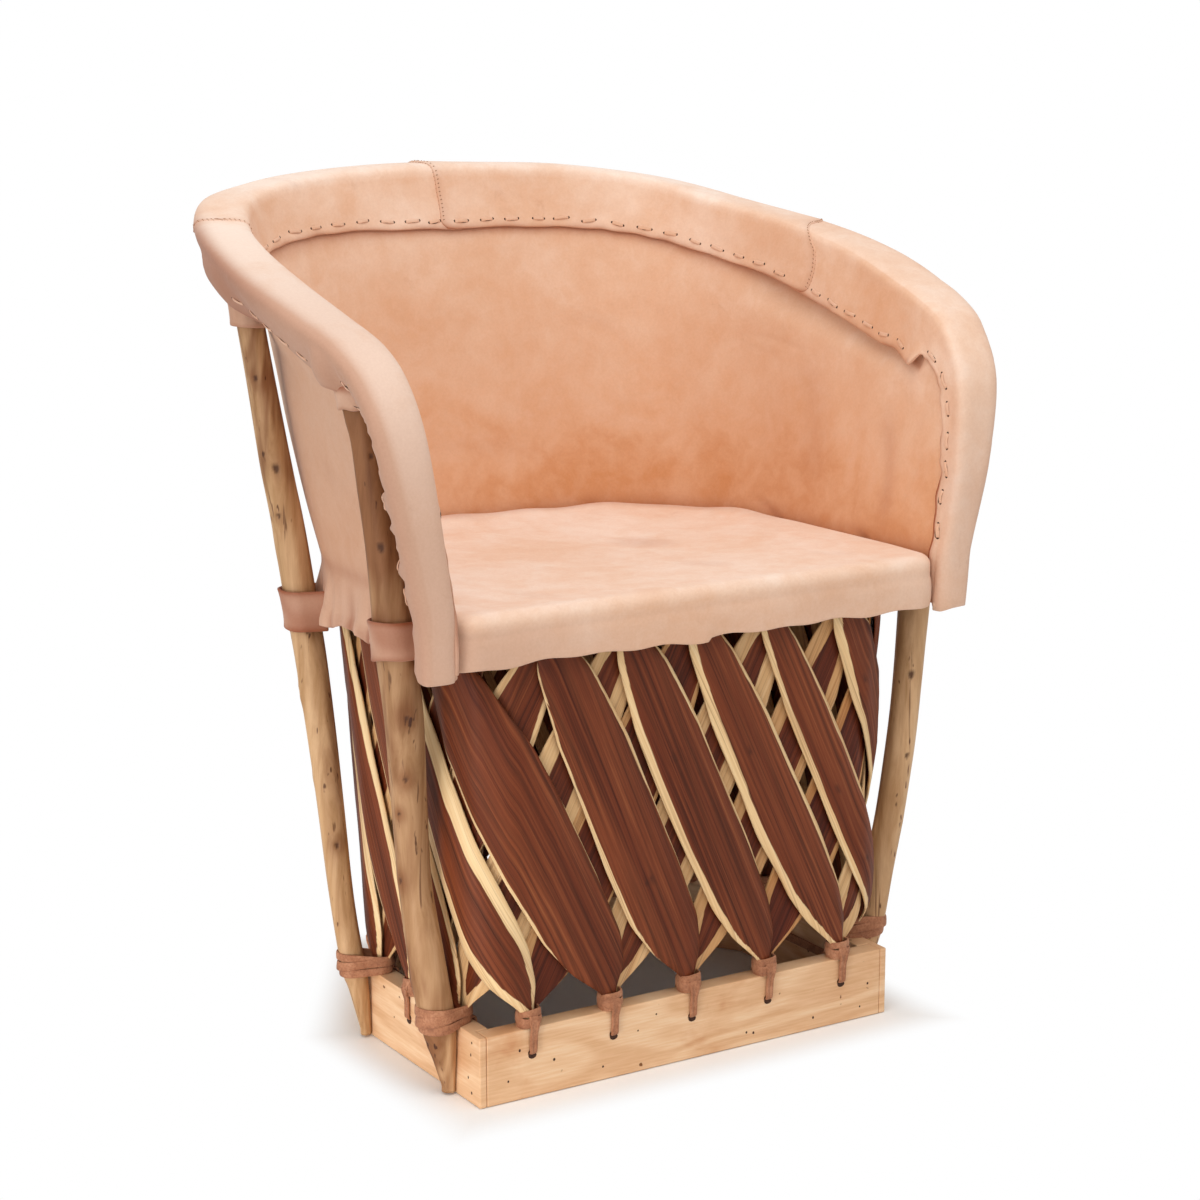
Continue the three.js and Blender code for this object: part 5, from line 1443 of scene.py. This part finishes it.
def slat_piece(index, side, seed):
    """A split slat, pointed at both ends, laid on the barrel along a line that leans with height; its split
    face has two flat bevels beside a ridge, and thins to its edges."""
    random = np.random.default_rng(seed)
    width = (outer_widths if side > 0 else inner_widths)[index]
    lean = slat_lean + (outer_leans[index] if side > 0 else 0)
    height = slat_top - slat_foot
    t = np.linspace(0, 1, 90)
    share = slat_share(t)
    z = slat_foot + height * t
    rise = (z - tie_height) / (slat_top - tie_height)
    centre = tie_share(index) - side * lean * rise
    length = BARREL_FOOT.length + (BARREL_TOP.length - BARREL_FOOT.length) * t
    half = slat_neck + (slat_half * width - slat_neck) * share
    low_half = half * (1 + 0.05 * ripple(seed + 1, t * 7) * share)
    high_half = half * (1 + 0.05 * ripple(seed + 2, t * 7) * share)
    v = np.linspace(-1, 1, 25)[None]
    across = np.where(v < 0, v * low_half[:, None], v * high_half[:, None])
    near = side * slat_layer_gap / 2
    ridge, flat = random.uniform(-0.25, 0.25), random.uniform(0.45, 0.6)
    away = np.abs(v - ridge * (1 - v ** 2))
    profile = 1 - 0.16 * away - 0.65 * np.clip((away - flat) / (1 - flat), 0, 1) ** 1.4
    thick = (slat_ridge * profile * (0.75 + 0.25 * share[:, None])
             + 0.3 * ripple(seed + 3, v * 1.5, t[:, None] * 5))
    thick = np.maximum(thick, slat_thinnest)
    wave = 0.6 * ripple(seed + 4, t[:, None] * 3, v * 0.7) * share[:, None]
    zz = np.broadcast_to(z[:, None], across.shape)
    place = centre[:, None] + across / length[:, None]
    outer = barrel(place, zz, near + side * (thick + np.abs(wave)))
    inner = barrel(place, zz, near + side * 0.15 * np.abs(wave))
    if side > 0 and index in front_sap:
        sap_widths = front_sap[index]
    else:
        narrow, wide = (10, 24) if random.uniform() < 0.75 and side < 0 else (2, 12)
        sap_widths = [random.uniform(narrow, wide) + random.uniform(-3, 3, 3) for _ in range(2)]
    low_sap, high_sap = (np.interp(t, sap_heights, sap) for sap in sap_widths)
    straight = 0.2 * half.max()
    line = straight + 0.8 * half
    low_line = line - low_sap + 0.9 * ripple(seed + 5, t * 7) + 0.3 * ripple(seed + 6, t * 30)
    high_line = line - high_sap + 0.9 * ripple(seed + 7, t * 7) + 0.3 * ripple(seed + 8, t * 30)
    edge = np.minimum(across + low_line[:, None], high_line[:, None] - across)
    knot = np.zeros_like(across)
    for _ in range(random.integers(0, 3)):
        at_t, at_x = random.uniform(0.2, 0.8), random.uniform(-0.35, 0.35) * slat_half
        knot = np.maximum(knot, bump(across, at_x, 1.8) * bump(z[:, None], slat_foot + at_t * height, 3.4))
    places = np.stack([across * MM + random.uniform(0, 3), z[:, None] * MM + seed * 0.613 + 0 * across], -1)
    section = lambda a, b: np.concatenate([a, b[:, ::-1]], 1)
    shape = Shape()
    # The inner slats carry a random share of painted shade
    shape.add(section(outer, inner), around=True, ends=True, places=section(places, places),
              edge=section(edge, edge), knot=section(knot, knot * 0),
              worn=0.0 if side > 0 else random.uniform(0.2, 0.8))
    layer = "outer" if side > 0 else "inner"
    number = f"{index + 1:02d}"
    return shape.make(f"{layer}_slat_{number}_cedar", cedar, "cedar_wood", [f"{layer}_slat_{number}"])


for slat_index in range(slat_count):
    slat_piece(slat_index, 1, 1000 + 20 * slat_index)
    slat_piece(slat_index, -1, 2000 + 20 * slat_index)


# ---------------------------------------------------------------- lashing

posts_at_tie = {(share[0] * share[3]) % slat_count: name for name, share in post_shares.items()}
thong_leather, tail_thick, over_width, over_thick = 2.0, 2.2, 9.5, 1.8
# Turns of thong at a tie: height, width, tilt and the way of the tilt
tip_turns = [(69.5, 7.5, 1.0, -0.4), (74.5, 8, 2.2, 1.2), (79.5, 7, -1.6, 2.2)]
post_turns = [(69.5, 9, 2.0, 0.4), (75.5, 9.5, -2.6, 2.4), (81.0, 8.5, 2.2, 3.6)]
# How far each turn lies outside what it is wound round, and half the oval round the crossed tips: along the
# board and outwards
turn_growths, tip_half, tip_reach = (1.2, 2.2, 1.6), 8.4, 8.2
# Route of a thong's tail over the board into its hole, and of the thong over the board to its inside: along
# the board, outwards and height, and the tail's width
tail_route = [(0, 9.6, 78, 9), (0, 11.3, 74, 11), (0.2, 11.6, 70, 10), (0.4, 11.0, 66, 8.6),
              (0.4, 9.6, 61, 8.0), (0.3, 9.3, 55, 7.8), (0.1, 9.3, 49, 7.8), (0, 9.2, 44.5, 7.4),
              (0, 8.0, 42.2, 6.4), (0, 4.5, 41.6, 5.5)]
over_route = [(0, 6, 70.5), (0, -8, 69.0), (0, -13, 68.6), (0, -14.6, 66.5), (0, -14.8, 60), (0, -14.8, 44)]


def round_points(points, count, grow):
    """Closed path round points in plan: the farthest point in each of many directions, moved outwards, then
    spaced evenly and softened by a short running mean."""
    angle = 2 * np.pi * np.arange(240) / 240
    way = np.stack([np.cos(angle), np.sin(angle)], -1)
    path = points[np.argmax(points @ way.T, axis=0)] + way * grow
    path = Loop(path).at(np.arange(count) / count)
    for _ in range(3):
        path = (np.roll(path, 1, 0) + path * 2 + np.roll(path, -1, 0)) / 4
    return path


def tie_tail(shape, index, random):
    """The thong's tail: it narrows down over the board into its hole, with a raised edge along each side."""
    _, along, out = tie_frame(index)
    tail = np.array(tail_route, float)
    tail[:, 0] += random.uniform(-0.8, 0.8) * np.linspace(1, 0, len(tail))
    fine = spline(tail, np.linspace(0, len(tail) - 1, 40))
    path = np.array([tie_place(index, a, b, c) for a, b, c in fine[:, :3]])
    slope = np.gradient(fine[:, 1:3], axis=0)
    normal = out * -slope[:, 1:2] + np.array([0, 0, 1.0]) * slope[:, 0:1]
    thong(shape, path, normal, fine[:, 3], tail_thick, seed=index + 9)
    for way in (-1, 1):
        edge_path = path + along * way * (fine[:, 3:4] / 2 - 1.7) + unit(normal) * 0.75
        thong(shape, edge_path[6:-7], normal[6:-7], 3.0, 1.4, seed=index + 11 + way)
    holes = Shape()
    # A dark oval paints the shade inside the thong's hole
    spot = tie_place(index, 0.0, slat_inset + 0.3, hole_height - 2.4)
    studs(holes, spot[None], out[None], along[None], long=8.6, wide=6.0, high=0.6, sink=0.3)
    holes.make(f"lash_hole_{index + 1:02d}", dark, "thong_leather")


def tie_piece(index):
    """The knot at a tie: turns of flat thong round the crossed tips, and round the post beside them, each
    tilted by a cosine. The thong then goes over the board to its inside, and without a post its tail also
    shows outside."""
    random = np.random.default_rng(400 + index)
    middle, along, out = tie_frame(index)
    name = posts_at_tie.get(index)
    shape = Shape()
    corner = np.linspace(0, 2 * np.pi, 40, endpoint=False)
    angle = 2 * np.pi * np.arange(72) / 72
    for number, (z, wide, tilt, phase) in enumerate(post_turns if name else tip_turns):
        shift = barrel(tie_share(index), z) - middle
        shift[2] = 0
        tips = (middle + shift)[:2] + (oval(np.cos(corner), 0.75)[:, None] * tip_half * along[:2]
                                       + oval(np.sin(corner), 0.75)[:, None] * tip_reach * out[:2])
        if name:
            centre, radius = post_at(name, z)
            round_post = np.stack([np.cos(corner), np.sin(corner)], -1)
            tips = np.concatenate([tips, centre + (radius + 0.4) * round_post])
        grow = turn_growths[number] + random.uniform(-0.1, 0.2)
        path = round_points(tips, len(angle), grow)
        heights = z + tilt * np.cos(angle - phase) + 0.5 * ripple(500 + index + number, angle)
        tangent = unit(np.roll(path, -1, 0) - np.roll(path, 1, 0))
        normal = np.stack([tangent[:, 1], -tangent[:, 0], 0.12 * np.sin(angle * 2 + phase)], -1)
        thong(shape, np.concatenate([path, heights[:, None]], -1), normal,
              wide * (1 + 0.12 * ripple(520 + index, angle)), thong_leather, loop=True, seed=index + number)
    if name is None:
        tie_tail(shape, index, random)
    fine = spline(over_route, np.linspace(0, len(over_route) - 1, 30))
    path = np.array([tie_place(index, *row) for row in fine])
    slope = np.gradient(fine[:, 1:3], axis=0)
    normal = out * slope[:, 1:2] + np.array([0, 0, 1.0]) * -slope[:, 0:1]
    thong(shape, path, normal, over_width, over_thick, seed=index + 5)
    return shape.make(f"tie_{index + 1:02d}_thong", brown_thong, "thong_leather", ["slat_lashing"])


for tie_index in range(slat_count):
    tie_piece(tie_index)


def inner_run():
    """The thong that runs round inside the boards, from tie to tie, with a slight wave in its height."""
    outline = Loop(offset_outline(base_corners, -(board_thickness + gap + 1.2)))
    share = np.arange(400) / 400
    path = outline.at(share)
    heights = hole_height + 1.2 * ripple(77, share * 40)
    tangent = unit(np.roll(path, -1, 0) - np.roll(path, 1, 0))
    normal = np.stack([-tangent[:, 1], tangent[:, 0], 0 * share], -1)
    shape = Shape()
    thong(shape, np.concatenate([path, heights[:, None]], -1), normal, over_width, thong_leather, loop=True)
    return shape.make("inner_run_thong", brown_thong, "thong_leather", ["slat_lashing"])


inner_run()


# ---------------------------------------------------------------- boards, nails, hoop and rail

board_wear = 1.1


def board_piece(name):
    """A copy of a board with its edges worn round."""
    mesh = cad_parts[name].data.copy()
    work = bmesh.new()
    work.from_mesh(mesh)
    bmesh.ops.remove_doubles(work, verts=work.verts, dist=1e-5)
    bmesh.ops.dissolve_limit(work, angle_limit=0.02, verts=work.verts, edges=work.edges)
    bmesh.ops.triangulate(work, faces=[face for face in work.faces if len(face.verts) > 4])
    work.to_mesh(mesh)
    work.free()
    mesh.materials.clear()
    mesh.materials.append(board)
    piece = bpy.data.objects.new(name + "_wood", mesh)
    bpy.context.scene.collection.objects.link(piece)
    worn = piece.modifiers.new("worn_edges", "BEVEL")
    worn.width, worn.segments = board_wear * MM, 2
    worn.limit_method, worn.angle_limit, worn.use_clamp_overlap = "ANGLE", 0.6, True
    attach(piece, "root")
    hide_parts(name)


for board_name in ("front_board", "right_side_board", "right_rear_board", "rear_board", "left_rear_board",
                   "left_side_board"):
    board_piece(board_name)


# Places of the nails, along the board and up, on each side, the front and the back
side_nails = [(-224, 46), (-219, 23), (-225, 10), (-226, 58)]
front_nails = [(-198, 20), (-186, 47), (-150, 31), (-98, 13), (-60, 40), (62, 13), (70, 11), (205, 34),
               (196, 12), (-40, 52), (140, 12)]
back_nails = [(-96, 20), (-94, 48), (96, 22), (95, 46)]


def nail_pieces():
    """Small nail heads, each a low dome, set in the boards."""
    spots = [((side * base_half_width, y, z), (side, 0, 0)) for side in (-1, 1) for y, z in side_nails]
    spots += [((x, -base_front, z), (0, -1, 0)) for x, z in front_nails]
    spots += [((x, base_back, z), (0, 1, 0)) for x, z in back_nails]
    shape = Shape()
    points, normals = (np.array(v, float) for v in zip(*spots))
    random = np.random.default_rng(8)
    upright = np.array([[0, 0, 1.0]])
    for point, normal in zip(points, normals):
        size = random.uniform(1.8, 3.0)
        long = size * random.uniform(1.0, 1.5)
        studs(shape, point[None], normal[None], upright, long, wide=size, high=0.35, sink=0.1)
    shape.make("nail_heads", dark, "board_wood")


nail_pieces()


def hoop_piece():
    """The hoop under the seat's edge: an upright section, carried round the seat's plan, whose top and foot
    are half ovals."""
    outline = Loop(offset_outline(seat_outline(seat_corner, 8, 8), -(seat_leather + gap + hoop_thick / 2)))
    share = np.arange(300) / 300
    plan = outline.at(share)
    step = unit(np.roll(plan, -1, 0) - np.roll(plan, 1, 0))
    out = np.stack([step[:, 1], -step[:, 0]], -1)
    turn = 2 * np.pi * np.arange(28) / 28
    top = seat_top - seat_leather - gap - 2
    across = hoop_thick / 2 * np.cos(turn)
    height = np.where(np.sin(turn) > 0, top - 10 + 10 * np.sin(turn), hoop_foot + 6 + 6 * np.sin(turn))
    wave = 0.25 * ripple(61, share[:, None] * 60, turn[None])
    grid = np.concatenate([plan[:, None] + out[:, None] * (across[None] * (0.95 + 0.05 * wave))[..., None],
                           (height[None] + wave)[..., None]], -1)
    shape = Shape()
    shape.add(grid, around=True, loop=True, knot=0.0, age=0.3)
    return shape.make("seat_hoop_branch", branch, "branch_wood", ["seat_hoop"])


hoop_piece()
# The rail's own solid stays, in the branches' wood, inside its leather
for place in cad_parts["rim_rail"].material_slots:
    place.material = branch
